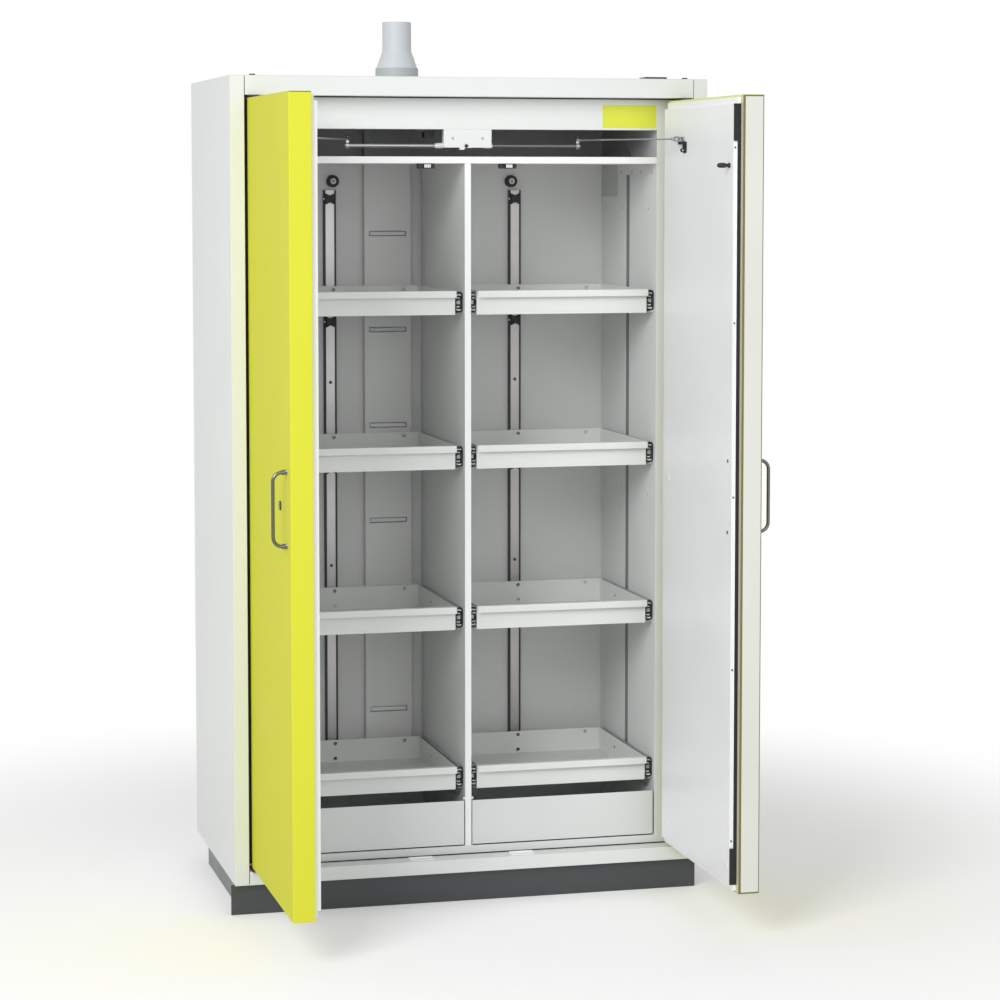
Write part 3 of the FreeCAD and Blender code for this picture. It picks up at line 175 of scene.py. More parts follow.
def make_scuff_group():
    """Sparse short rub marks, as a mask."""
    inputs = [("Scale", "Float", 60.0), ("Amount", "Float", 0.5)]
    tree, given, result = new_group("Rub marks", inputs, "Mask")
    place = object_place(tree)
    bent = add(tree, "TexNoise", {"Vector": place, "Scale": 9.0, "Detail": 2.0})
    shifted = add(tree, "VectorMath", {0: bent.outputs["Color"], "Scale": 0.02}, operation="SCALE")
    moved = add(tree, "VectorMath", {0: place, 1: shifted.outputs["Vector"]}, operation="ADD")
    at = {"Vector": moved.outputs["Vector"], "Scale": given["Scale"]}
    cells = add(tree, "TexVoronoi", at, feature="DISTANCE_TO_EDGE")
    thin = mapped(tree, cells.outputs["Distance"], 0.0, 0.03, 1.0, 0.0)
    patch = mapped(tree, noise(tree, place, 14.0), 0.52, 0.66)
    marks = maths(tree, "MULTIPLY", thin, patch)
    tree.links.new(maths(tree, "MULTIPLY", marks, given["Amount"]), result)
    return tree


DRIFT = make_drift_group()
TONE = make_tone_group()
PEEL = make_peel_group()
BRUSH = make_brush_group()
SCUFF = make_scuff_group()


# Materials

INNER_GREY = tint(230, 231, 230)
# Painted shade on the liner: the recess above the ceiling panel, the groove behind the side walls' holes, and their
# notch
RECESS_PAINTED_SHADE = tint(196, 197, 198)
HOLE_PAINTED_SHADE = tint(128, 130, 130)
NOTCH_PAINTED_SHADE = tint(200, 201, 200)
FLOOR_PALE = tint(246, 246, 246)
WHITE = (1.0, 1.0, 1.0, 1.0)
PEEL_SCALE = 700.0
PEEL_STRENGTH = 0.25
PEEL_HEIGHT = 0.03 * MM
# The front and the foot of the notch at the top rear of the side walls
NOTCH_FRONT_Y = 78.0
NOTCH_LOW_Z = 1670.0


def placed(tree, group, **values):
    """The output of a shader group in a material, with its own values."""
    node = tree.nodes.new("ShaderNodeGroup")
    node.node_tree = group
    for key, value in values.items():
        node.inputs[key].default_value = value
    return node.outputs[0]


def emptied(data):
    """The empty node tree of a material or a world."""
    data.use_nodes = True
    data.node_tree.nodes.clear()
    return data.node_tree


def new_material(name, fixed=None):
    """A material with a Principled shader, its tree and that shader, with some inputs fixed."""
    material = bpy.data.materials.new(name)
    tree = emptied(material)
    shader = add(tree, "BsdfPrincipled", fixed)
    add(tree, "OutputMaterial", {"Surface": shader.outputs["BSDF"]})
    return material, tree, shader


def cover(tree, shader, colour, roughness, height, strength, distance):
    """Links a colour, a roughness and a bump from a height to a shader."""
    bump = add(tree, "Bump", {"Height": height, "Strength": strength, "Distance": distance})
    for label, value in (("Base Color", colour), ("Roughness", roughness), ("Normal", bump.outputs["Normal"])):
        tree.links.new(value, shader.inputs[label])


def paint(name, colour, low, high, shine=0.5, peel=PEEL_SCALE, strength=PEEL_STRENGTH, tone=0.015):
    """Powder paint on sheet steel."""
    material, tree, shader = new_material(name, {"Specular IOR Level": shine})
    shade = placed(tree, TONE, Colour=colour, Scale=2.5, Amount=tone)
    gloss = placed(tree, DRIFT, Scale=5.0, Low=low, High=high)
    cover(tree, shader, shade, gloss, placed(tree, PEEL, Scale=peel), strength, PEEL_HEIGHT)
    return material


def moulded(name, colour, low, high):
    """Moulded plastic or rubber with a fine matt grain."""
    return paint(name, colour, low, high, peel=1500.0, strength=0.3, tone=0.03)


def metal(name, colour, low, high, stretch):
    """Bare or plated steel with fine lines along one direction and a few rub marks."""
    material, tree, shader = new_material(name, {"Metallic": 1.0})
    shade = placed(tree, TONE, Colour=colour, Scale=14.0, Amount=0.06)
    lines = placed(tree, BRUSH, Stretch=stretch)
    marks = placed(tree, SCUFF, Scale=90.0, Amount=0.12)
    gloss = mapped(tree, lines, 0.0, 1.0, low, high)
    cover(tree, shader, shade, maths(tree, "ADD", gloss, marks), lines, 0.1, 0.02 * MM)
    return material


def fibre(name, colour, low, high):
    """Pressed mineral board with a short fibre grain."""
    material, tree, shader = new_material(name)
    shade = placed(tree, TONE, Colour=colour, Scale=40.0, Amount=0.07)
    gloss = placed(tree, DRIFT, Scale=20.0, Low=low, High=high)
    cover(tree, shader, shade, gloss, placed(tree, BRUSH, Stretch=(900.0, 90.0, 900.0)), 0.5, 0.3 * MM)
    return material


def liner_paint(name, colour, low, high):
    """The liner's paint with painted shade: darker above the ceiling panel, behind the side walls' holes and in their
    notch.
    """
    material, tree, shader = new_material(name)
    place = add(tree, "SeparateXYZ", {0: object_place(tree)}).outputs
    edge_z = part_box("ceiling_panel")[1].z
    above = mapped(tree, place["Z"], edge_z - 2 * MM, edge_z + 2 * MM)
    wall = high_of("side_wall_panels") - Vector((1.0, 1.0, 0.0))
    behind = maths(tree, "GREATER_THAN", maths(tree, "ABSOLUTE", place["X"]), wall.x * MM)
    before_back = maths(tree, "LESS_THAN", place["Y"], wall.y * MM)
    in_hole = maths(tree, "MULTIPLY", behind, before_back)
    rear = maths(tree, "GREATER_THAN", place["Y"], NOTCH_FRONT_Y * MM)
    over_foot = maths(tree, "GREATER_THAN", place["Z"], NOTCH_LOW_Z * MM)
    in_notch = maths(tree, "MULTIPLY", maths(tree, "MULTIPLY", rear, over_foot), behind)
    mixed = placed(tree, TONE, Colour=colour, Scale=2.5, Amount=0.015)
    # Painted shade, mixed over the liner's own grey by place
    darker = ((in_hole, HOLE_PAINTED_SHADE, 0.04), (in_notch, NOTCH_PAINTED_SHADE, 0.03), (above, RECESS_PAINTED_SHADE, 0.04))
    for mask, grey, amount in darker:
        shade = placed(tree, TONE, Colour=grey, Scale=5.0, Amount=amount)
        mixed = add(tree, "Mix", {0: mask, 6: mixed, 7: shade}, data_type="RGBA").outputs[2]
    gloss = placed(tree, DRIFT, Scale=5.0, Low=low, High=high)
    cover(tree, shader, mixed, gloss, placed(tree, PEEL, Scale=PEEL_SCALE), PEEL_STRENGTH, PEEL_HEIGHT)
    return material


# Each finish: its name, how it is made, its colour on a screen, its roughness from least to most,
# and how shiny a paint is or how the lines of a steel are stretched
FINISH_ROWS = [
    ("casing paint", paint, (230, 233, 231), 0.34, 0.44),
    ("door paint", paint, (219, 220, 66), 0.4, 0.5, 0.03),
    ("inner paint", paint, (230, 231, 230), 0.38, 0.48),
    ("tray paint", paint, (230, 233, 230), 0.34, 0.44),
    ("plinth paint", paint, (66, 70, 71), 0.4, 0.5),
    ("plinth frame paint", paint, (120, 123, 124), 0.4, 0.5),
    ("ceiling board", moulded, (247, 247, 246), 0.5, 0.6),
    ("fire board", fibre, (222, 219, 208), 0.85, 0.98),
    ("bright steel", metal, (200, 202, 204), 0.24, 0.4, (500, 500, 5)),
    # Chrome darker than its own colour: the darkness is a painted reflection of dark surroundings
    ("chromed bar", metal, (112, 112, 108), 0.08, 0.16, (300, 300, 60)),
    ("black steel", paint, (38, 38, 40), 0.3, 0.42),
    ("collar plastic", moulded, (204, 209, 213), 0.42, 0.52),
    ("black plastic", moulded, (30, 30, 31), 0.45, 0.6),
    ("seal rubber", moulded, (28, 28, 28), 0.65, 0.8),
    ("pale strip", moulded, (226, 228, 220), 0.5, 0.62),
    ("blank yellow", moulded, (224, 230, 66), 0.35, 0.45),
    # Painted shade: the grey of the shaded recess above the ceiling panel
    ("recess paint", paint, (196, 197, 198), 0.4, 0.5),
    # Painted shade: the rails' channels and their screws, dark as the shadow in them
    ("rail side paint", paint, (62, 62, 64), 0.5, 0.6),
    ("rail strip steel", metal, (182, 179, 179), 0.34, 0.46, (500, 500, 6)),
    ("collar ring plastic", moulded, (176, 181, 184), 0.45, 0.55),
    ("white plastic", moulded, (236, 238, 236), 0.3, 0.4),
    ("rod steel", metal, (176, 178, 178), 0.3, 0.42, (60, 500, 500)),
    # Painted shade: a darker copy of the rod steel for the right rod
    ("dark rod steel", metal, (122, 124, 125), 0.35, 0.5, (60, 500, 500)),
    # Painted shade: the door yellow as it looks in shade, for the doors' end borders
    ("door edge paint", paint, (118, 116, 50), 0.4, 0.5),
    ("door flange paint", paint, (208, 202, 188), 0.4, 0.5),
    ("door flange top paint", paint, (228, 231, 158), 0.4, 0.5),
    # Painted shade: the dark of the gaps at the hinges
    ("hinge gap paint", paint, (34, 34, 18), 0.6, 0.7),
    # Painted light: a whiter copy of the casing white, for the doors' inner faces, the partition's front edge and the
    # sill plates
    ("door liner paint", paint, (248, 250, 250), 0.34, 0.44),
    ("sump paint", paint, (222, 225, 224), 0.34, 0.44),
    ("plate screw steel", metal, (176, 176, 176), 0.3, 0.45, (300, 300, 300)),
    ("dark screw steel", metal, (96, 96, 98), 0.3, 0.45, (300, 300, 300)),
]
FINISHES = {"liner_paint": liner_paint("liner paint", INNER_GREY, 0.4, 0.5)}
for name, make, colour, *rest in FINISH_ROWS:
    FINISHES[name.replace(" ", "_")] = make(name, tint(*colour), *rest)


# Shapes in millimetres


def slab(shape, low, high):
    """Adds a box between two corners."""
    low = Vector(low)
    high = Vector(high)
    place = Matrix.Translation((low + high) / 2 * MM)
    sizes = Matrix.Diagonal([*((high - low) * MM), 1.0])
    bmesh.ops.create_cube(shape, size=1.0, matrix=place @ sizes)


def side_slab(shape, side, x_pair, y_pair, z_pair):
    """Adds a box given by its distances from the middle plane, on one side of the cabinet."""
    xs = sorted(side * x for x in x_pair)
    slab(shape, (xs[0], min(y_pair), min(z_pair)), (xs[1], max(y_pair), max(z_pair)))


def swept(shape, outline, start, step):
    """Adds a closed outline of points swept from a start by a step."""
    near = [shape.verts.new((Vector(point) + Vector(start)) * MM) for point in outline]
    far = [shape.verts.new((Vector(point) + Vector(start) + Vector(step)) * MM) for point in outline]
    shape.faces.new(near)
    shape.faces.new(list(reversed(far)))
    for k in range(len(near)):
        after = (k + 1) % len(near)
        shape.faces.new((near[after], near[k], far[k], far[after]))


def ring_of(shape, middle, across, third, radius, segments):
    """Adds a ring of vertices about a middle, from two directions across it."""
    ring = []
    for k in range(segments):
        angle = 2 * math.pi * k / segments
        spoke = across * math.cos(angle) + third * math.sin(angle)
        ring.append(shape.verts.new((middle + spoke * radius) * MM))
    return ring


def joined(shape, near, far):
    """Adds the faces between two rings, one of which may be a single point."""
    for k in range(len(near)):
        after = (k + 1) % len(near)
        corners = list(dict.fromkeys([near[k], near[after], far[after], far[k]]))
        if len(corners) > 2:
            shape.faces.new(corners)


def turned(shape, profile, centre, axis, segments=32):
    """Adds a closed profile of (radius, height) turned about an axis through a centre."""
    along = Vector(axis).normalized()
    across = along.orthogonal().normalized()
    third = along.cross(across)
    rings = []
    for radius, height in profile:
        middle = Vector(centre) + along * height
        if radius:
            rings.append(ring_of(shape, middle, across, third, radius, segments))
        else:
            rings.append([shape.verts.new(middle * MM)] * segments)
    pairs = list(zip(rings, rings[1:]))
    if profile[0][0] and profile[-1][0]:
        pairs.append((rings[-1], rings[0]))
    for near, far in pairs:
        joined(shape, near, far)


def bent_bar(shape, path, side_axis, radius, segments=20):
    """Adds a round bar along a flat path, with flat ends."""
    side_axis = Vector(side_axis)
    path = [Vector(point) for point in path]
    rings = []
    for k, point in enumerate(path):
        before = path[max(k - 1, 0)]
        after = path[min(k + 1, len(path) - 1)]
        up = (after - before).normalized().cross(side_axis)
        rings.append(ring_of(shape, point, side_axis, up, radius, segments))
    for near, far in zip(rings, rings[1:]):
        joined(shape, near, far)
    shape.faces.new(list(reversed(rings[0])))
    shape.faces.new(rings[-1])


def boxes(*pairs):
    """A shape of boxes, each between two corners."""
    shape = bmesh.new()
    for low, high in pairs:
        slab(shape, low, high)
    return shape


def turnings(*parts):
    """A shape of turned profiles, each with its centre, its axis and how many segments it has."""
    shape = bmesh.new()
    for part in parts:
        turned(shape, *part)
    return shape


def rounded_end(radius, height, edge):
    """The profile of a short peg with a rounded outer edge, from its base to its tip."""
    return [(0, 0), (radius, 0), (radius, height - edge), (radius - 0.3 * edge, height - 0.3 * edge),
            (radius - edge, height), (0, height)]


def softened(path, rounds=2):
    """An open path with its corners cut round, its ends kept."""
    for _ in range(rounds):
        cut = [path[0]]
        for (x0, z0), (x1, z1) in zip(path, path[1:]):
            cut.append((0.75 * x0 + 0.25 * x1, 0.75 * z0 + 0.25 * z1))
            cut.append((0.25 * x0 + 0.75 * x1, 0.25 * z0 + 0.75 * z1))
        path = cut + [path[-1]]
    return path


def ribbon(path, thickness):
    """The closed outline of a sheet bent along an open path."""
    left = []
    right = []
    for k, (x, z) in enumerate(path):
        before = Vector(path[max(k - 1, 0)])
        after = Vector(path[min(k + 1, len(path) - 1)])
        run = (after - before).normalized()
        left.append((x - run.y * thickness / 2, z + run.x * thickness / 2))
        right.append((x + run.y * thickness / 2, z - run.x * thickness / 2))
    return left + right[::-1]


# Making of pieces


def shown(data):
    """A new object in the scene with a mesh, a camera or a lamp's light, under its name."""
    piece = bpy.data.objects.new(data.name, data)
    bpy.context.scene.collection.objects.link(piece)
    return piece


def applied(piece, name):
    """The piece with its modifiers made into a plain mesh, under a new name."""
    depsgraph = bpy.context.evaluated_depsgraph_get()
    mesh = bpy.data.meshes.new_from_object(piece.evaluated_get(depsgraph))
    bpy.data.objects.remove(piece)
    mesh.name = name
    return shown(mesh)


def adopt(piece, body, slot, finish, replaced):
    """Gives a piece its finish, the slot's when it has none, and its body, in place of the node it replaces."""
    piece.data.materials.clear()
    piece.data.materials.append(FINISHES[finish or slot])
    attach(piece, body)
    if replaced:
        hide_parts(replaced)


def finished(shape, name, slot, width=0.0, segments=3, finish=None, replaced=None, body="cabinet"):
    """Makes a piece from a bmesh, with its edges rounded by a width. Without a finish it has its slot's."""
    mesh = bpy.data.meshes.new(f"{name} rough")
    shape.to_mesh(mesh)
    shape.free()
    mesh.shade_smooth()
    rough = shown(mesh)
    if width:
        bevel = rough.modifiers.new("rounding", "BEVEL")
        bevel.width = width * MM
        bevel.segments = segments
        bevel.limit_method = "ANGLE"
        bevel.angle_limit = EDGE_ANGLE
        bevel.use_clamp_overlap = False
        bevel.miter_outer = "MITER_SHARP"
    weighted = rough.modifiers.new("flat faces", "WEIGHTED_NORMAL")
    weighted.keep_sharp = True
    piece = applied(rough, name)
    if not width:
        piece.data.set_sharp_from_angle(angle=EDGE_ANGLE)
    adopt(piece, body, slot, finish, replaced)


def made(shape, *piece, **more):
    """Makes a piece as finished does, from a newly built bmesh whose faces are first turned outwards."""
    bmesh.ops.recalc_face_normals(shape, faces=shape.faces)
    finished(shape, *piece, **more)


def copy_of(node):
    """A node's mesh with its triangles merged back into flat faces."""
    shape = bmesh.new()
    shape.from_mesh(frame["nodes"][node].data)
    bmesh.ops.remove_doubles(shape, verts=shape.verts, dist=MERGE)
    bmesh.ops.dissolve_limit(
        shape, angle_limit=FLAT_ANGLE, use_dissolve_boundaries=False, verts=shape.verts, edges=shape.edges
    )
    return shape


def box_of(verts):
    """The lowest and highest corners of some vertices, in millimetres."""
    low = Vector([min(v.co[k] for v in verts) for k in range(3)]) / MM
    high = Vector([max(v.co[k] for v in verts) for k in range(3)]) / MM
    return low, high


def solids_in(shape):
    """The vertices of each separate solid of a mesh."""
    seen_verts = set()
    for first in shape.verts:
        if first in seen_verts:
            continue
        solid = [first]
        seen_verts.add(first)
        for vert in solid:
            for edge in vert.link_edges:
                other = edge.other_vert(vert)
                if other not in seen_verts:
                    seen_verts.add(other)
                    solid.append(other)
        yield solid


def solids_of(node, wanted):
    """The node's merged mesh with only the solids whose corners pass a test."""
    shape = copy_of(node)
    unwanted = []
    for solid in solids_in(shape):
        if not wanted(*box_of(solid)):
            unwanted += solid
    bmesh.ops.delete(shape, geom=unwanted, context="VERTS")
    return shape


def boxes_in(node, wanted):
    """The corners of the node's solids that pass a test, in millimetres."""
    shape = copy_of(node)
    pairs = [box_of(solid) for solid in solids_in(shape)]
    shape.free()
    return [(low, high) for low, high in pairs if wanted(low, high)]


def width_is(width):
    """A test for solids of one width, to a millimetre."""
    return lambda low, high: abs(high.x - low.x - width) < 1.0


def body_of(node):
    bodies = frame["record"]["behaviour"]["bodies"]
    return next(body for body, members in bodies.items() if node in members)


def dress(node, width, finish=None):
    """A node's own shape with rounded edges, in its place."""
    name = f"{node}_shell"
    finished(copy_of(node), name, slots[node], width, finish=finish, replaced=node, body=body_of(node))


# Trees that repeat a small shape in rows


def make_row_tree(name, primitive, sizes, fixed):
    """Repeats a small shape in a row from each vertex of the mesh that carries the modifier."""
    tree = bpy.data.node_groups.new(name, "GeometryNodeTree")
    kinds = {"Geometry": "Geometry", "Count": "Int", "Step": "Vector", "Turn": "Vector"}
    for label, kind in {**kinds, **dict.fromkeys(sizes, "Float"), "Finish": "Material"}.items():
        socket = tree.interface.new_socket(name=label, in_out="INPUT", socket_type=f"NodeSocket{kind}")
        if label == "Count":
            socket.default_value = 1
    tree.interface.new_socket(name="Geometry", in_out="OUTPUT", socket_type="NodeSocketGeometry")
    given = tree.nodes.new("NodeGroupInput").outputs
    result = tree.nodes.new("NodeGroupOutput")

    def part(kind, inputs, **settings):
        return add(tree, kind, inputs, "Geometry", **settings).outputs[0]

    line = part("MeshLine", {"Count": given["Count"], "Offset": given["Step"]}, mode="OFFSET")
    rows = part("InstanceOnPoints", {"Points": given["Geometry"], "Instance": line})
    places = part("RealizeInstances", {0: rows})
    small = part(f"Mesh{primitive}", {**{label: given[label] for label in sizes}, **fixed})
    smooth = part("SetShadeSmooth", {0: small, "Shade Smooth": primitive == "IcoSphere"})
    spread = part("InstanceOnPoints", {"Points": places, "Instance": smooth, "Rotation": given["Turn"]})
    real = part("RealizeInstances", {0: spread})
    finish = part("SetMaterial", {"Geometry": real, "Material": given["Finish"]})
    tree.links.new(finish, result.inputs["Geometry"])
    return tree


BALL_ROWS = make_row_tree("Ball rows", "IcoSphere", ["Radius"], {"Subdivisions": 2})
CONE_SIZES = ["Radius Bottom", "Radius Top", "Depth"]
SCREW_ROWS = make_row_tree("Screw heads in rows", "Cone", CONE_SIZES, {"Vertices": 20})
# Turns that bring a screw head's tip from up to each direction
TO_FRONT = (math.radians(90), 0.0, 0.0)
TO_SIDE = {-1: (0.0, math.radians(-90), 0.0), 1: (0.0, math.radians(90), 0.0)}


def repeated(tree, starts, name, slot, sizes, finish, replaced, body):
    """Makes a piece by a row tree from its starting places, in millimetres."""
    mesh = bpy.data.meshes.new(f"{name} places")
    mesh.from_pydata([[c * MM for c in start] for start in starts], [], [])
    rough = shown(mesh)
    rows = rough.modifiers.new("rows", "NODES")
    rows.node_group = tree
    for socket in tree.interface.items_tree:
        if socket.in_out == "INPUT" and socket.name in sizes:
            rows[socket.identifier] = sizes[socket.name]
        if socket.name == "Finish":
            rows[socket.identifier] = FINISHES[finish]
    adopt(applied(rough, name), body, slot, finish, replaced)


def screws(starts, name, radius, height, turn, finish, replaced=None, body="cabinet", count=1, step=0.0):
    """Small screw heads at their places, or rows of them one above the other."""
    sizes = {"Radius Bottom": radius * MM, "Radius Top": 0.7 * radius * MM, "Depth": height * MM, "Turn": turn}
    row = {"Count": count, "Step": (0.0, 0.0, step * MM)}
    repeated(SCREW_ROWS, starts, name, "bright_steel", {**sizes, **row}, finish, replaced, body)


# Places taken from the frame

WALL_X = high_of("fixed_slides").x
PARTITION_X = 7.5
FRONT_Y = low_of("side_panels").y
FRAME_Y = low_of("partition").y
BACK_WALL_Y = high_of("rear_rails").y
CEILING_Z = low_of("ceiling_panel").z
CEILING_TOP_Z = high_of("ceiling_panel").z
FLOOR_Z = low_of("partition").z
SILL_Z = high_of("base_panel").z
OPEN_HALF = high_of("top_fascia").x
INNER_FACE_X = low_of("door_liner_right").x


# Casing, walls and panels

ROUNDINGS = {
    "side_panels": 0.7, "top_panel": 0.6, "top_fascia": 0.6, "base_panel": 0.7, "door_frame": 0.5,
    "plinth_frame": 0.7, "plinth_front": 0.8, "side_wall_panels": 0.4, "ceiling_panel": 0.8, "partition": 0.6,
    "air_duct": 0.4, "lock_barrel": 0.4, "door_end_strip_right": 0.35,
}
OWN_FINISHES = {"inner_liner": "liner_paint", "lock_barrel": "dark_screw_steel"}
for side in SIDES:
    ROUNDINGS.update({f"door_skin_{side}": 0.7, f"door_liner_{side}": 0.9, f"sump_{side}": 0.6})
    # The doors' inner faces take the whiter copy of white, painted light
    OWN_FINISHES.update({f"door_liner_{side}": "door_liner_paint", f"sump_{side}": "sump_paint"})
for node, width in ROUNDINGS.items():
    dress(node, width, OWN_FINISHES.get(node))


def make_collar():
    """The roof reducer: a smooth upper part over a darker ring with a pressed bead."""
    node = "exhaust_collar"
    low, high = corners_of(node)
    centre = ((low.x + high.x) / 2, (low.y + high.y) / 2, 0.0)
    roof_z = high_of("top_panel").z
    ring_z = roof_z + 34.0
    cone_z = ring_z + 40.0
    upper = [
        (46.5, low.z), (48.0, low.z), (48.0, roof_z + 2.0), (50.2, roof_z + 2.0), (50.2, ring_z), (49.6, ring_z + 1.5),
        (37.2, cone_z - 3.0), (35.7, cone_z), (35.25, cone_z + 3.0), (35.25, high.z - 6.0), (34.9, high.z - 1.0),
        (34.4, high.z), (33.9, high.z), (33.75, high.z - 1.0), (33.75, cone_z), (46.5, ring_z),
    ]
    made(turnings((upper, centre, UP, 64)), "collar_upper", "collar_plastic", replaced=node)
    band = [
        (50.3, roof_z), (52.3, roof_z), (52.5, roof_z + 1.0), (52.5, roof_z + 5.0), (52.0, roof_z + 6.0),
        (52.0, roof_z + 8.0), (52.5, roof_z + 9.0), (52.5, ring_z - 2.0), (52.0, ring_z - 0.5), (51.0, ring_z),
        (50.3, ring_z),
    ]
    ring = turnings((band, centre, UP, 64))
    made(ring, "collar_ring", "collar_plastic", finish="collar_ring_plastic", replaced=node)


make_collar()


def make_painted_shade_lines():
    """Dark strips of painted shade under the band over the doors, along the sill and under the sumps' fronts."""
    under_band = low_of("top_fascia").z
    sill_back = FRONT_Y + 48.5
    # Black strips standing in for the shade in the gaps under the band and along the sill
    shape = boxes(
        ((-OPEN_HALF, FRAME_Y - 4.0, under_band - 3.0), (OPEN_HALF, FRAME_Y - 0.2, under_band - 0.1)),
        ((-OPEN_HALF, sill_back - 2.0, SILL_Z - 0.2), (OPEN_HALF, sill_back + 1.5, SILL_Z + 2.4)),
    )
    made(shape, "frame_seals", "seal_rubber", 0.4)
    for name in SIDES:
        node = f"sump_{name}"
        low, high = corners_of(node)
        # A black strip standing in for the shade under the sump's front
        shape = boxes(((low.x + 1.0, low.y - 0.6, low.z), (high.x - 1.0, low.y + 0.4, low.z + 2.6)))
        made(shape, f"{node}_foot_line", "seal_rubber", 0.2, body=node)


make_painted_shade_lines()


def make_recess_duct():
    """The duct's upper run behind the closer, and a peg on the ceiling panel."""
    low, high = corners_of("air_duct")
    top = low_of("exhaust_collar").z - 2.0
    shape = boxes(
        ((low.x, low.y, CEILING_TOP_Z), (high.x, high.y - 0.2, top)),
        ((low.x - 3.0, high.y - 3.0, CEILING_TOP_Z), (low.x - 0.2, high.y - 0.2, top)),
    )
    # The upper run carries the recess's painted shade
    made(shape, "duct_upper_run", "inner_paint", 0.5, finish="recess_paint")
    foot = (408.0, -200.0, CEILING_TOP_Z - 0.5)
    shape = turnings((rounded_end(4.0, 23.0, 2.0), foot, UP, 20), (rounded_end(6.5, 5.0, 1.0), foot, UP, 20))
    made(shape, "ceiling_peg", "black_plastic")


make_recess_duct()


def make_louvres():
    """A slightly tilted plate behind each of the duct's six slots."""
    low, high = corners_of("air_duct")
    first = FLOOR_Z + 257.0
    step = (CEILING_Z - 171.0 - first) / 5
    outline = [(0.0, 1.2, -4.6), (0.0, 2.2, -4.6), (0.0, 4.6, 4.6), (0.0, 3.6, 4.6)]
    shape = bmesh.new()
    for k in range(6):
        swept(shape, outline, ((low.x + high.x) / 2 - 45.0, low.y, first + k * step), (90.0, 0.0, 0.0))
    made(shape, "duct_louvres", "inner_paint", 0.2, 2)


make_louvres()


def make_front_lines():
    """The white edge along the partition's front, a strip of painted light, and dark strips of painted shade that show
    between the frame and the open doors.
    """
    # A thin strip of painted light: the partition's front, whiter than its own paint
    shape = boxes(((-PARTITION_X, FRAME_Y - 0.3, FLOOR_Z), (PARTITION_X, FRAME_Y + 0.2, CEILING_Z)))
    made(shape, "partition_edge", "inner_paint", 0.15, 2, "door_liner_paint")
    outer_x = high_of("door_frame").x
    front = low_of("door_frame").y
    low, high = corners_of("door_skin_left")
    # Dark strips standing in for the shade in the hinge gaps
    shape = bmesh.new()
    for side in SIDES.values():
        side_slab(shape, side, (outer_x - 18.0, outer_x - 0.1), (front - 0.3, front + 0.2), (low.z, high.z))
    made(shape, "hinge_gap_strips", "seal_rubber", finish="hinge_gap_paint")


make_front_lines()


def make_sign():
    """A blank plate with a low rim."""
    low, high = corners_of("sign_plate")
    rim = 2.2
    back = low.y + 0.4
    shape = boxes(
        ((low.x, low.y + 0.25, low.z), high),
        (low, (low.x + rim, back, high.z)),
        ((high.x - rim, low.y, low.z), (high.x, back, high.z)),
        ((low.x + rim, low.y, low.z), (high.x - rim, back, low.z + rim)),
        ((low.x + rim, low.y, high.z - rim), (high.x - rim, back, high.z)),
    )
    made(shape, "sign_blank", "blank_yellow", 0.12, 2, replaced="sign_plate")


make_sign()


# Rails, clips, bumpers and catches


def make_rails():
    """Channels and their screws painted dark as shade, with grey strips."""
    node = "rear_rails"

    def is_strip(low, high):
        return high.x - low.x < 25

    channels = solids_of(node, lambda low, high: not is_strip(low, high))
    # The channels carry painted shade, the strips their own grey
    finished(channels, "rail_channels", "bright_steel", 0.4, 3, "rail_side_paint", node)
    finished(solids_of(node, is_strip), "rail_strips", "bright_steel", 0.3, 3, "rail_strip_steel", node)
    strip_y = low_of(node).y
    first_z = 747.0
    second_z = 1208.0
    starts = [((low.x + high.x) / 2, strip_y, first_z) for low, high in boxes_in(node, is_strip)]
    step = second_z - first_z
    screws(starts, "rail_screws", 4.0, 1.2, TO_FRONT, "rail_side_paint", count=2, step=step)


make_rails()


def make_clips():
    """The notched clips on the rails with their pale pins, and the round bumpers with their rings."""
    node = "rail_clips"
    is_clip = width_is(24.0)
    finished(solids_of(node, is_clip), "notched_clips", "black_plastic", 1.3, replaced=node)
    pin_y = BACK_WALL_Y - 8.0
    starts = [(low.x - 2.5, pin_y, (low.z + high.z) / 2) for low, high in boxes_in(node, is_clip)]
    screws(starts, "clip_pins", 2.6, 3.0, TO_FRONT, "white_plastic")
    bumper_height = 16.0
    ring = [(3.4, 0.0), (7.3, 0.0), (7.3, 0.7), (6.8, 1.2), (5.0, 1.4), (3.8, 1.0), (3.4, 0.4)]
    shape = bmesh.new()
    rings = bmesh.new()
    for low, high in boxes_in(node, width_is(30.0)):
        middle = (low + high) / 2
        foot = (middle.x, BACK_WALL_Y, middle.z)
        tip = (middle.x, BACK_WALL_Y - bumper_height, middle.z)
        turned(shape, rounded_end(15.0, bumper_height, 2.5), foot, FORWARD, 40)
        turned(rings, ring, tip, FORWARD, 32)
        turned(rings, rounded_end(1.8, 1.0, 0.4), tip, FORWARD, 16)
    made(shape, "round_bumpers", "black_plastic", replaced=node)
    made(rings, "bumper_rings", "bright_steel", finish="white_plastic", replaced=node)


make_clips()


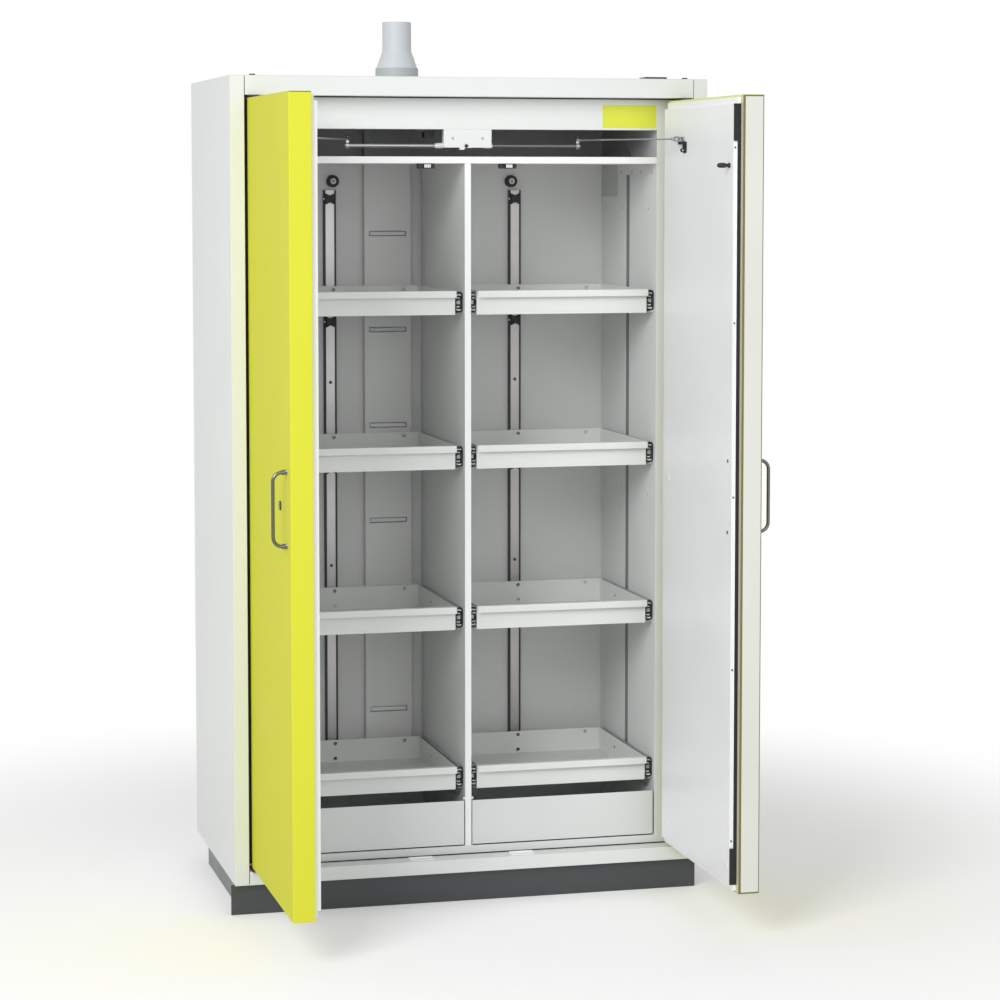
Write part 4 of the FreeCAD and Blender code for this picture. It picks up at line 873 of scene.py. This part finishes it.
def make_catches():
    """Black catches with ribbed pale inserts, and pale plates on the sill with a low lip behind."""
    node = "door_catches"

    def is_body(low, high):
        return high.z > 200

    finished(solids_of(node, is_body), "catch_bodies", "black_plastic", 0.8, replaced=node)
    top = high_of(node).z
    front = FRAME_Y + 4.0
    shape = bmesh.new()
    for low, high in boxes_in(node, is_body):
        for k in range(4):
            near = (low.x + high.x) / 2 - 5.0 + 4.0 * k
            slab(shape, (near + 0.3, front - 0.4, top - 10.0), (near + 3.7, front + 6.0, top - 2.0))
    made(shape, "catch_inserts", "pale_strip", 0.4, finish="white_plastic", replaced=node)
    shape = bmesh.new()
    for low, high in boxes_in(node, lambda low, high: not is_body(low, high)):
        slab(shape, low, (high.x - 2.0, high.y, high.z))
        slab(shape, (low.x, high.y - 1.5, low.z), (high.x - 2.0, high.y, high.z + 3.0))
    # The plates take the whiter copy of white, painted light
    made(shape, "sill_plates", "pale_strip", 0.5, finish="door_liner_paint", replaced=node)


make_catches()


# Closer, handles and fittings of the doors

ROD_START = 50.0
ROD_Y = -200.0
ROD_Z = 1792.0
ARM_Z = 1806.0
ARM_PIN = (450.0, -445.0)
ARM_END = (280.0, ROD_Y)
# A handle's distance from the door's free edge, and half the pitch of its feet
HANDLE_INSET = 43.5
HANDLE_HALF = 80.0


def make_closer():
    """The block in the recess with its sleeves, tab, black parts and screws, and the two rods."""
    node = "closer_bracket"
    block = solids_of(node, lambda low, high: high.x - low.x > 60)
    finished(block, "closer_block", "casing_paint", 1.0, replaced=node)
    sleeve = [(4.6, 0.0), (6.2, 0.0), (6.2, 15.0), (5.6, 16.0), (5.6, 19.0), (5.2, 20.0), (4.6, 20.0)]
    starts = {side: (side * ROD_START, ROD_Y, ROD_Z) for side in SIDES.values()}
    shape = turnings(*((sleeve, start, (side, 0, 0), 28) for side, start in starts.items()))
    made(shape, "rod_sleeves", "casing_paint", replaced=node)
    front_y = low_of(node).y + 1.2
    foot_z = 1787.0
    shape = boxes(
        ((-8.0, front_y - 0.2, foot_z - 1.0), (10.0, front_y + 2.8, foot_z + 6.0)),
        ((-20.0, front_y - 0.1, foot_z - 5.0), (-7.0, front_y + 2.9, foot_z + 6.0)),
    )
    made(shape, "closer_tab", "casing_paint", 1.6, 4)
    shape = turnings((rounded_end(4.2, 3.0, 1.0), (-3.7, front_y, foot_z + 4.0), FORWARD, 24))
    slab(shape, (-28.0, front_y + 1.0, foot_z - 7.5), (-18.0, front_y + 8.0, foot_z - 2.0))
    slab(shape, (-92.0, ROD_Y + 12.0, 1811.0), (-68.0, ROD_Y + 40.0, 1825.0))
    made(shape, "closer_valves", "black_plastic", 0.8)
    places = [(side * 36.0, front_y, 1808.5) for side in SIDES.values()]
    screws(places, "closer_screws", 3.4, 1.4, TO_FRONT, "plate_screw_steel", node)
    length = high_of("guide_rods").x - ROD_START
    bar = [(0, 0), (4.5, 0), (4.5, length - 3.0), (5.4, length - 2.8), (5.4, length - 0.6), (4.6, length),
           (0, length)]
    # The right rod takes the darker copy of the left's steel, painted shade
    for name, finish in (("left", "rod_steel"), ("right", "dark_rod_steel")):
        side = SIDES[name]
        shape = turnings((bar, starts[side], (side, 0, 0), 24))
        made(shape, f"closer_rod_{name}", "bright_steel", finish=finish, replaced="guide_rods")


make_closer()


def make_arm(name, side):
    """The thin arm with its ball socket at the door, and the joint block on the rod."""
    node = f"closer_arm_{name}"
    pin = Vector((side * ARM_PIN[0], ARM_PIN[1], ARM_Z))
    end = Vector((side * ARM_END[0], ARM_END[1], ARM_Z))
    run = end - pin
    length = run.length
    bar = [(0, 3.0), (1.8, 3.0), (1.8, 9.6), (3.6, 10.0), (3.8, 10.8), (3.8, 14.0), (3.2, 15.0), (2.0, 17.0),
           (1.8, 19.0), (1.8, length - 14.0), (3.2, length - 12.0), (3.2, length - 4.0), (0, length - 4.0)]
    eye = [(4.1, -2.0), (7.2, -2.0), (7.9, -1.2), (7.9, 1.2), (7.2, 2.0), (4.1, 2.0)]
    shape = turnings((bar, pin, run, 20), (eye, pin, UP, 28))
    made(shape, f"{node}_rod", "bright_steel", finish="rod_steel", replaced=node, body=node)
    knuckle = [(0, -2.0), (4.4, -2.0), (4.9, -1.2), (4.9, 2.6), (3.4, 3.2), (3.4, 4.6), (4.6, 5.4), (4.6, 8.0),
               (3.4, 9.7), (0, 10.0)]
    shape = turnings((knuckle, end, UP, 24))
    made(shape, f"{node}_knuckle", "bright_steel", finish="dark_screw_steel", replaced=node, body=node)
    dress(f"closer_slider_{name}", 0.8, "rod_steel")


def make_ear(name, side):
    """The closer's bracket on a door: a dark ear, a fork with its pin, and a small eye below."""
    body = f"door_{name}"
    on_door = {"body": body, "replaced": f"door_fittings_{name}"}
    face = INNER_FACE_X
    x, y = side * ARM_PIN[0], ARM_PIN[1]
    plate = [(0.0, 0.0, -6.0), (0.0, -26.0, -6.0), (0.0, -26.0, -29.0), (0.0, -22.0, -32.6), (0.0, -14.0, -33.6),
             (0.0, -5.0, -32.0), (0.0, 0.0, -28.0)]
    shape = bmesh.new()
    swept(shape, plate, (side * (face - 2.4), y, ARM_Z), (side * 2.4, 0.0, 0.0))
    side_slab(shape, side, (face - 12.0, face - 1.0), (y - 20.0, y + 5.0), (ARM_Z - 13.0, ARM_Z - 6.4))
    made(shape, f"closer_ear_{name}", "bright_steel", 0.7, finish="black_steel", **on_door)
    shape = bmesh.new()
    for reach, low_z, high_z in ((22.5, -5.4, -2.6), (22.5, 2.6, 5.0), (4.0, -3.0, 3.0)):
        side_slab(shape, side, (face - reach, face - 0.2), (y - 8.0, y + 7.0), (ARM_Z + low_z, ARM_Z + high_z))
    made(shape, f"closer_fork_{name}", "bright_steel", 1.0, finish="rod_steel", **on_door)
    pivot = [(0, -6.6), (3.9, -6.6), (3.9, 5.2), (5.0, 5.4), (5.0, 5.8), (4.4, 6.3), (0, 6.3)]
    shape = turnings((pivot, (x, y, ARM_Z), UP, 28))
    made(shape, f"closer_pin_{name}", "bright_steel", finish="rod_steel", **on_door)
    centre = (side * (face - 4.6), y - 7.0, ARM_Z - 26.0)
    eye = [(2.3, -3.0), (4.7, -3.0), (4.7, 3.4), (4.2, 4.4), (3.0, 4.4), (2.3, 3.6)]
    made(turnings((eye, centre, FORWARD, 24)), f"ear_eye_{name}", "black_plastic", body=body)
    stud = turnings((rounded_end(2.2, 3.8, 0.8), centre, FORWARD, 20))
    made(stud, f"ear_stud_{name}", "bright_steel", finish="white_plastic", body=body)


def make_latch_peg():
    """The waisted peg on the right door, in place of the plain one."""
    node = "door_fittings_right"
    low, high = boxes_in(node, lambda low, high: 1700 < low.z and high.z < 1755 and high.x - low.x > 24)[0]
    root = (high.x, (low.y + high.y) / 2, (low.z + high.z) / 2)
    peg = [(0, 0.0), (5.7, 0.0), (5.7, 3.0), (4.9, 4.0), (3.9, 5.0), (3.9, 9.0), (5.2, 11.0), (5.7, 13.0),
           (5.7, 22.0), (5.0, 26.0), (3.4, 28.6), (1.6, 29.7), (0, 30.0)]
    shape = turnings((peg, root, (-1, 0, 0), 24))
    made(shape, "latch_peg_right", "black_plastic", replaced=node, body="door_right")


def make_fittings(name, side):
    """The screws, buffers and hinge blocks on a door, and the screws in the right door's end strip."""
    node = f"door_fittings_{name}"
    on_door = {"body": f"door_{name}", "replaced": node}
    face = INNER_FACE_X
    skin = low_of(f"door_skin_{name}")
    low, high = corners_of(f"handle_{name}")
    centre_z = (low.z + high.z) / 2
    place = (side * (face + 0.2), skin.y + HANDLE_INSET, centre_z - HANDLE_HALF)
    finish = "dark_screw_steel"
    row = {"count": 2, "step": 2 * HANDLE_HALF}
    screws([place], f"handle_screws_{name}", 4.4, 1.6, TO_SIDE[-side], finish, **on_door, **row)
    if name == "right":
        place = (side * (face + 4.2), skin.y + 15.0 + 2.5 + 0.2, 230.0)
        row = {"count": 5, "step": 388.0}
        screws([place], "step_screws_right", 2.4, 1.4, TO_FRONT, finish, body="door_right", **row)
    hinge_y = skin.y + 532.5 - 57.0
    low_z = skin.z + 60.0
    disc = [(0, 0), (7.0, 0), (7.0, 0.8), (6.2, 1.6), (4.0, 1.8), (0, 1.8)]
    places = ((hinge_y, centre_z), (hinge_y, low_z), (skin.y + 36.0, low_z))
    shape = turnings(*((disc, (side * face, y, z), (-side, 0, 0), 28) for y, z in places))
    made(shape, f"buffers_{name}", "pale_strip", finish="white_plastic", **on_door)
    blocks = solids_of(node, lambda low, high: min(abs(low.x), abs(high.x)) > 480)
    finished(blocks, f"hinge_blocks_{name}", "black_plastic", 0.6, **on_door)


def make_handle(name, side):
    """The bent chromed bar with a sleeve at each foot."""
    node = f"handle_{name}"
    face = high_of("door_skin_right").x
    low, high = corners_of(node)
    y = (low.y + high.y) / 2
    middle = (low.z + high.z) / 2
    reach = 31.0
    bend = 20.0
    path = [(-1.0, HANDLE_HALF)]
    for k in range(9):
        angle = math.radians(90 - 90 * k / 8)
        path.append((reach - bend + bend * math.cos(angle), HANDLE_HALF - bend + bend * math.sin(angle)))
    path += [(out, -up) for out, up in reversed(path)]
    shape = bmesh.new()
    bent_bar(shape, [(side * (face + out), y, middle + up) for out, up in path], (0.0, 1.0, 0.0), 4.0)
    # The bar's darkened chrome carries a painted reflection
    made(shape, f"{node}_bar", "chromed_bar", replaced=node, body=f"door_{name}")
    sleeve = [(4.1, 0.0), (5.6, 0.0), (5.6, 11.0), (5.2, 12.2), (4.1, 12.6)]
    feet = [(side * face, y, middle + up) for up in (-HANDLE_HALF, HANDLE_HALF)]
    shape = turnings(*((sleeve, foot, (side, 0, 0), 28) for foot in feet))
    made(shape, f"{node}_sleeves", "chromed_bar", replaced=node, body=f"door_{name}")


for name, side in SIDES.items():
    make_arm(name, side)
    make_ear(name, side)
    if name == "right":
        make_latch_peg()
    make_fittings(name, side)
    make_handle(name, side)


def make_door_borders():
    """Borders of painted shade, a dark olive, on the doors' end faces, and pale pieces on the flange beside the right
    seal.
    """
    low, high = corners_of("door_skin_right")
    strip_low, strip_high = corners_of("door_end_strip_right")
    foot = low.z + 0.6
    top = high.z - 0.6
    front = low.y - 0.45
    back = low.y + 0.1
    right_end = (
        ((low.x + 0.1, front, foot), (strip_low.x - 0.1, back, top)),
        ((strip_high.x + 0.1, front, foot), (high.x - 0.5, back, top)),
        ((strip_low.x, front, strip_high.z + 0.1), (strip_high.x, back, top)),
        ((strip_low.x, front, foot), (strip_high.x, back, strip_low.z - 0.1)),
    )
    flange = ((low.x - 0.3, back, foot), (low.x + 0.1, low.y + 12.6, top))
    flange_top = ((low.x - 0.3, low.y + 12.7, high.z - 12.0), (low.x + 0.1, high.y - 12.0, top))
    left_end = ((-high.x + 0.7, front, high.z - 2.6), (-low.x - 0.7, back, top))
    for name, body, finish, pairs in (
        ("end_border_right", "door_right", "door_edge_paint", right_end),
        ("flange_border", "door_right", "door_flange_paint", (flange,)),
        ("flange_top", "door_right", "door_flange_top_paint", (flange_top,)),
        ("end_border_left", "door_left", "door_edge_paint", (left_end,)),
    ):
        made(boxes(*pairs), name, "door_paint", 0.15, 2, finish, body=body)


make_door_borders()


# Slides and trays

SLIDE_HALF = 26.5
SLIDE_BELOW_RIM = 1.0
# The thickness of each sheet and its path across the slide, by its reach from the wall and its height from the middle
FIXED_HALF = (2.6, [(14.6, 21.2), (13.6, 23.0), (9.0, 23.2), (5.0, 22.4), (2.0, 19.5), (1.5, 16.0)])
MIDDLE_HALF = (2.4, [(17.2, 11.2), (15.0, 13.4), (11.0, 13.6), (7.0, 11.6), (4.4, 8.6), (3.9, 5.0)])
INNER_HALF = (1.8, [(7.0, 6.9), (10.0, 6.6), (14.0, 5.6), (16.2, 3.9), (16.8, 1.5)])
# A thin bright strip along the fixed member's upper and lower edges: a painted highlight
FIXED_HIGHLIGHT = (0.9, [(13.5, 25.6), (9.0, 25.9), (4.0, 25.0), (0.9, 22.0)])
CAGE_OUTER = (2.4, [(15.0, 16.6), (12.0, 18.2), (8.0, 18.3), (4.6, 16.6)])
CAGE_INNER = (1.8, [(15.6, 9.4), (13.0, 10.6), (10.0, 10.6), (7.5, 9.6)])
CAGE_WEB = [(4.6, -4.6), (13.5, -4.6), (13.5, 4.6), (4.6, 4.6)]
CAGE_SETBACK = 0.2
CAGE_OVERRUN = 4.0
WEB_SETBACK = 8.0
# The reach, height and radius of the balls
OUTER_BALL = (10.0, 18.25, 1.6)
INNER_BALL = (11.5, 10.6, 1.25)
BALL_SETBACK = 6.0
BALL_PITCH = 8.0
BALL_COUNT = 22


def mirrored(gauge, path):
    """The outlines of a bent sheet above the slide's middle and of its mirror image below."""
    upper = ribbon(softened(path), gauge)
    return [upper, [(reach, -up) for reach, up in upper]]


def whole(gauge, half):
    """A member's outline from the path of its upper half."""
    return ribbon(softened(half + [(reach, -up) for reach, up in reversed(half)]), gauge)


def slide_places(side, rim):
    """For each of a tray's two slides, the function from a place across it to one in the cabinet."""
    middle = rim - SLIDE_BELOW_RIM - SLIDE_HALF
    return (
        lambda reach, up, y: (side * (WALL_X - reach), y, middle + up),
        lambda reach, up, y: (side * (PARTITION_X + reach), y, middle + up),
    )


def add_members(shape, outlines, side, rim, y_low, y_high):
    """Adds some slide members of one tray, from their outlines across the slide."""
    for place in slide_places(side, rim):
        for outline in outlines:
            across = [place(reach, up, 0.0) for reach, up in outline]
            swept(shape, across, (0.0, y_low, 0.0), (0.0, y_high - y_low, 0.0))


def ball_starts(side, rim, reach, up, y_low):
    """The first ball of each row in a tray's two slides."""
    y = y_low + BALL_SETBACK
    return [place(reach, sign * up, y) for place in slide_places(side, rim) for sign in (-1, 1)]


def make_slides():
    """The three nested members of each slide, with their balls and cages, and thin bright strips of painted highlight
    along each fixed member's edges.
    """
    fixed, middle, inner = whole(*FIXED_HALF), whole(*MIDDLE_HALF), whole(*INNER_HALF)
    edges = mirrored(*FIXED_HIGHLIGHT)
    cages = mirrored(*CAGE_OUTER) + mirrored(*CAGE_INNER)
    row = {"Count": BALL_COUNT, "Step": (0.0, BALL_PITCH * MM, 0.0)}
    fixed_shape = bmesh.new()
    highlight_shape = bmesh.new()
    for name, side in SIDES.items():
        for number in TRAYS:
            tray = f"tray_{name}_{number}"
            rail = f"slide_middle_{name}_{number}"
            rim = high_of(tray).z
            y_low, y_high = low_of(rail).y, high_of(rail).y
            add_members(fixed_shape, [fixed], side, rim, y_low, y_high)
            add_members(highlight_shape, edges, side, rim, y_low, y_high)
            shape = bmesh.new()
            add_members(shape, [middle], side, rim, y_low, y_high)
            made(shape, f"{rail}_member", "black_steel", replaced=rail, body=rail)
            shape = bmesh.new()
            cage_end = y_low + BALL_PITCH * BALL_COUNT + CAGE_OVERRUN
            add_members(shape, cages, side, rim, y_low + CAGE_SETBACK, cage_end)
            add_members(shape, [CAGE_WEB], side, rim, y_low + WEB_SETBACK, cage_end)
            made(shape, f"{rail}_cages", "black_steel", finish="white_plastic", body=rail)
            for label, (reach, up, radius) in (("outer", OUTER_BALL), ("inner", INNER_BALL)):
                starts = ball_starts(side, rim, reach, up, y_low)
                sizes = {**row, "Radius": radius * MM}
                balls = f"{rail}_{label}_balls"
                repeated(BALL_ROWS, starts, balls, "black_steel", sizes, "bright_steel", None, rail)
            shape = bmesh.new()
            add_members(shape, [inner], side, rim, y_low, y_high)
            made(shape, f"{tray}_runners", "black_steel", replaced=tray, body=tray)
            pan = solids_of(tray, lambda low, high: high.x - low.x > 100)
            finished(pan, f"{tray}_pan", "tray_paint", 0.6, replaced=tray, body=tray)
    made(fixed_shape, "slide_fixed_members", "black_steel", replaced="fixed_slides")
    made(highlight_shape, "slide_fixed_edges", "black_steel", finish="bright_steel")


make_slides()

for node, object_ in frame["nodes"].items():
    if not object_.hide_render:
        object_.data.materials.clear()
        object_.data.materials.append(FINISHES[OWN_FINISHES.get(node, slots[node])])


# Camera

lens = bpy.data.cameras.new("camera")
lens.sensor_width = 36.0
lens.lens = 103.34
lens.shift_y = -0.096
camera = shown(lens)
camera.location = (-1.6216, -6.8200, 1.6984)
camera.rotation_euler = Euler((math.radians(85.646), 0.0, math.radians(-14.491)))
bpy.context.scene.camera = camera


# Light, floor and background, in metres

WORLD_LIGHT = 0.5
KEY_POWER = 185.0
FRONT_POWER = 48.0
FLOOR_HALF = 30.0
FLOOR_GLOW = 0.18
# The distances between which the floor fades to white to the eye
FLOOR_FADE = (0.9, 2.3)


def seen(tree):
    """1 for rays from the camera and those it sees in or through the object, 0 for light on it."""
    rays = add(tree, "LightPath").outputs
    shine = maths(tree, "MAXIMUM", rays["Is Camera Ray"], rays["Is Glossy Ray"])
    return maths(tree, "MAXIMUM", shine, rays["Is Transmission Ray"])


def make_world():
    """Even light from all round, and plain white behind to the eye."""
    world = bpy.data.worlds.new("studio")
    tree = emptied(world)
    light = add(tree, "Background", {"Color": WHITE, "Strength": WORLD_LIGHT})
    white = add(tree, "Background", {"Color": WHITE, "Strength": 1.0})
    mix = add(tree, "MixShader", {0: seen(tree), 1: light.outputs[0], 2: white.outputs[0]})
    add(tree, "OutputWorld", {"Surface": mix.outputs[0]})
    bpy.context.scene.world = world


def make_floor():
    """A plain pale floor that keeps its shadow and fades to white, to the eye, away from the cabinet."""
    corners = [(x * FLOOR_HALF, y * FLOOR_HALF, 0.0) for x, y in ((-1, -1), (1, -1), (1, 1), (-1, 1))]
    mesh = bpy.data.meshes.new("floor")
    mesh.from_pydata(corners, [], [range(4)])
    floor = shown(mesh)
    fixed = {"Base Color": FLOOR_PALE, "Roughness": 0.9, "Specular IOR Level": 0.0, "Emission Color": WHITE}
    material, tree, shader = new_material("floor", fixed)
    tree.links.new(maths(tree, "MULTIPLY", seen(tree), FLOOR_GLOW), shader.inputs["Emission Strength"])
    away = add(tree, "VectorMath", {0: object_place(tree)}, operation="LENGTH").outputs["Value"]
    span = {"Value": away, "From Min": FLOOR_FADE[0], "From Max": FLOOR_FADE[1]}
    fade = add(tree, "MapRange", span, interpolation_type="SMOOTHSTEP").outputs["Result"]
    white = add(tree, "Emission", {"Color": WHITE, "Strength": 1.0}).outputs[0]
    faded = maths(tree, "MULTIPLY", fade, seen(tree))
    mix = add(tree, "MixShader", {0: faded, 1: shader.outputs["BSDF"], 2: white})
    tree.links.new(mix.outputs[0], tree.get_output_node("ALL").inputs["Surface"])
    mesh.materials.append(material)


def make_lamp(name, place, aim, size, power):
    """A square soft lamp at a place, turned to a point."""
    light = bpy.data.lights.new(name, "AREA")
    light.shape = "SQUARE"
    light.size = size
    light.energy = power
    lamp = shown(light)
    lamp.location = place
    lamp.rotation_euler = (Vector(aim) - Vector(place)).to_track_quat("-Z", "Y").to_euler()


make_world()
make_floor()
middle = (0.0, -0.2, 1.0)
make_lamp("key lamp", (-3.6, -4.6, 3.8), middle, 2.6, KEY_POWER)
make_lamp("front lamp", (0.2, -6.5, 2.6), middle, 3.0, FRONT_POWER)
bpy.context.scene.view_settings.view_transform = "Standard"
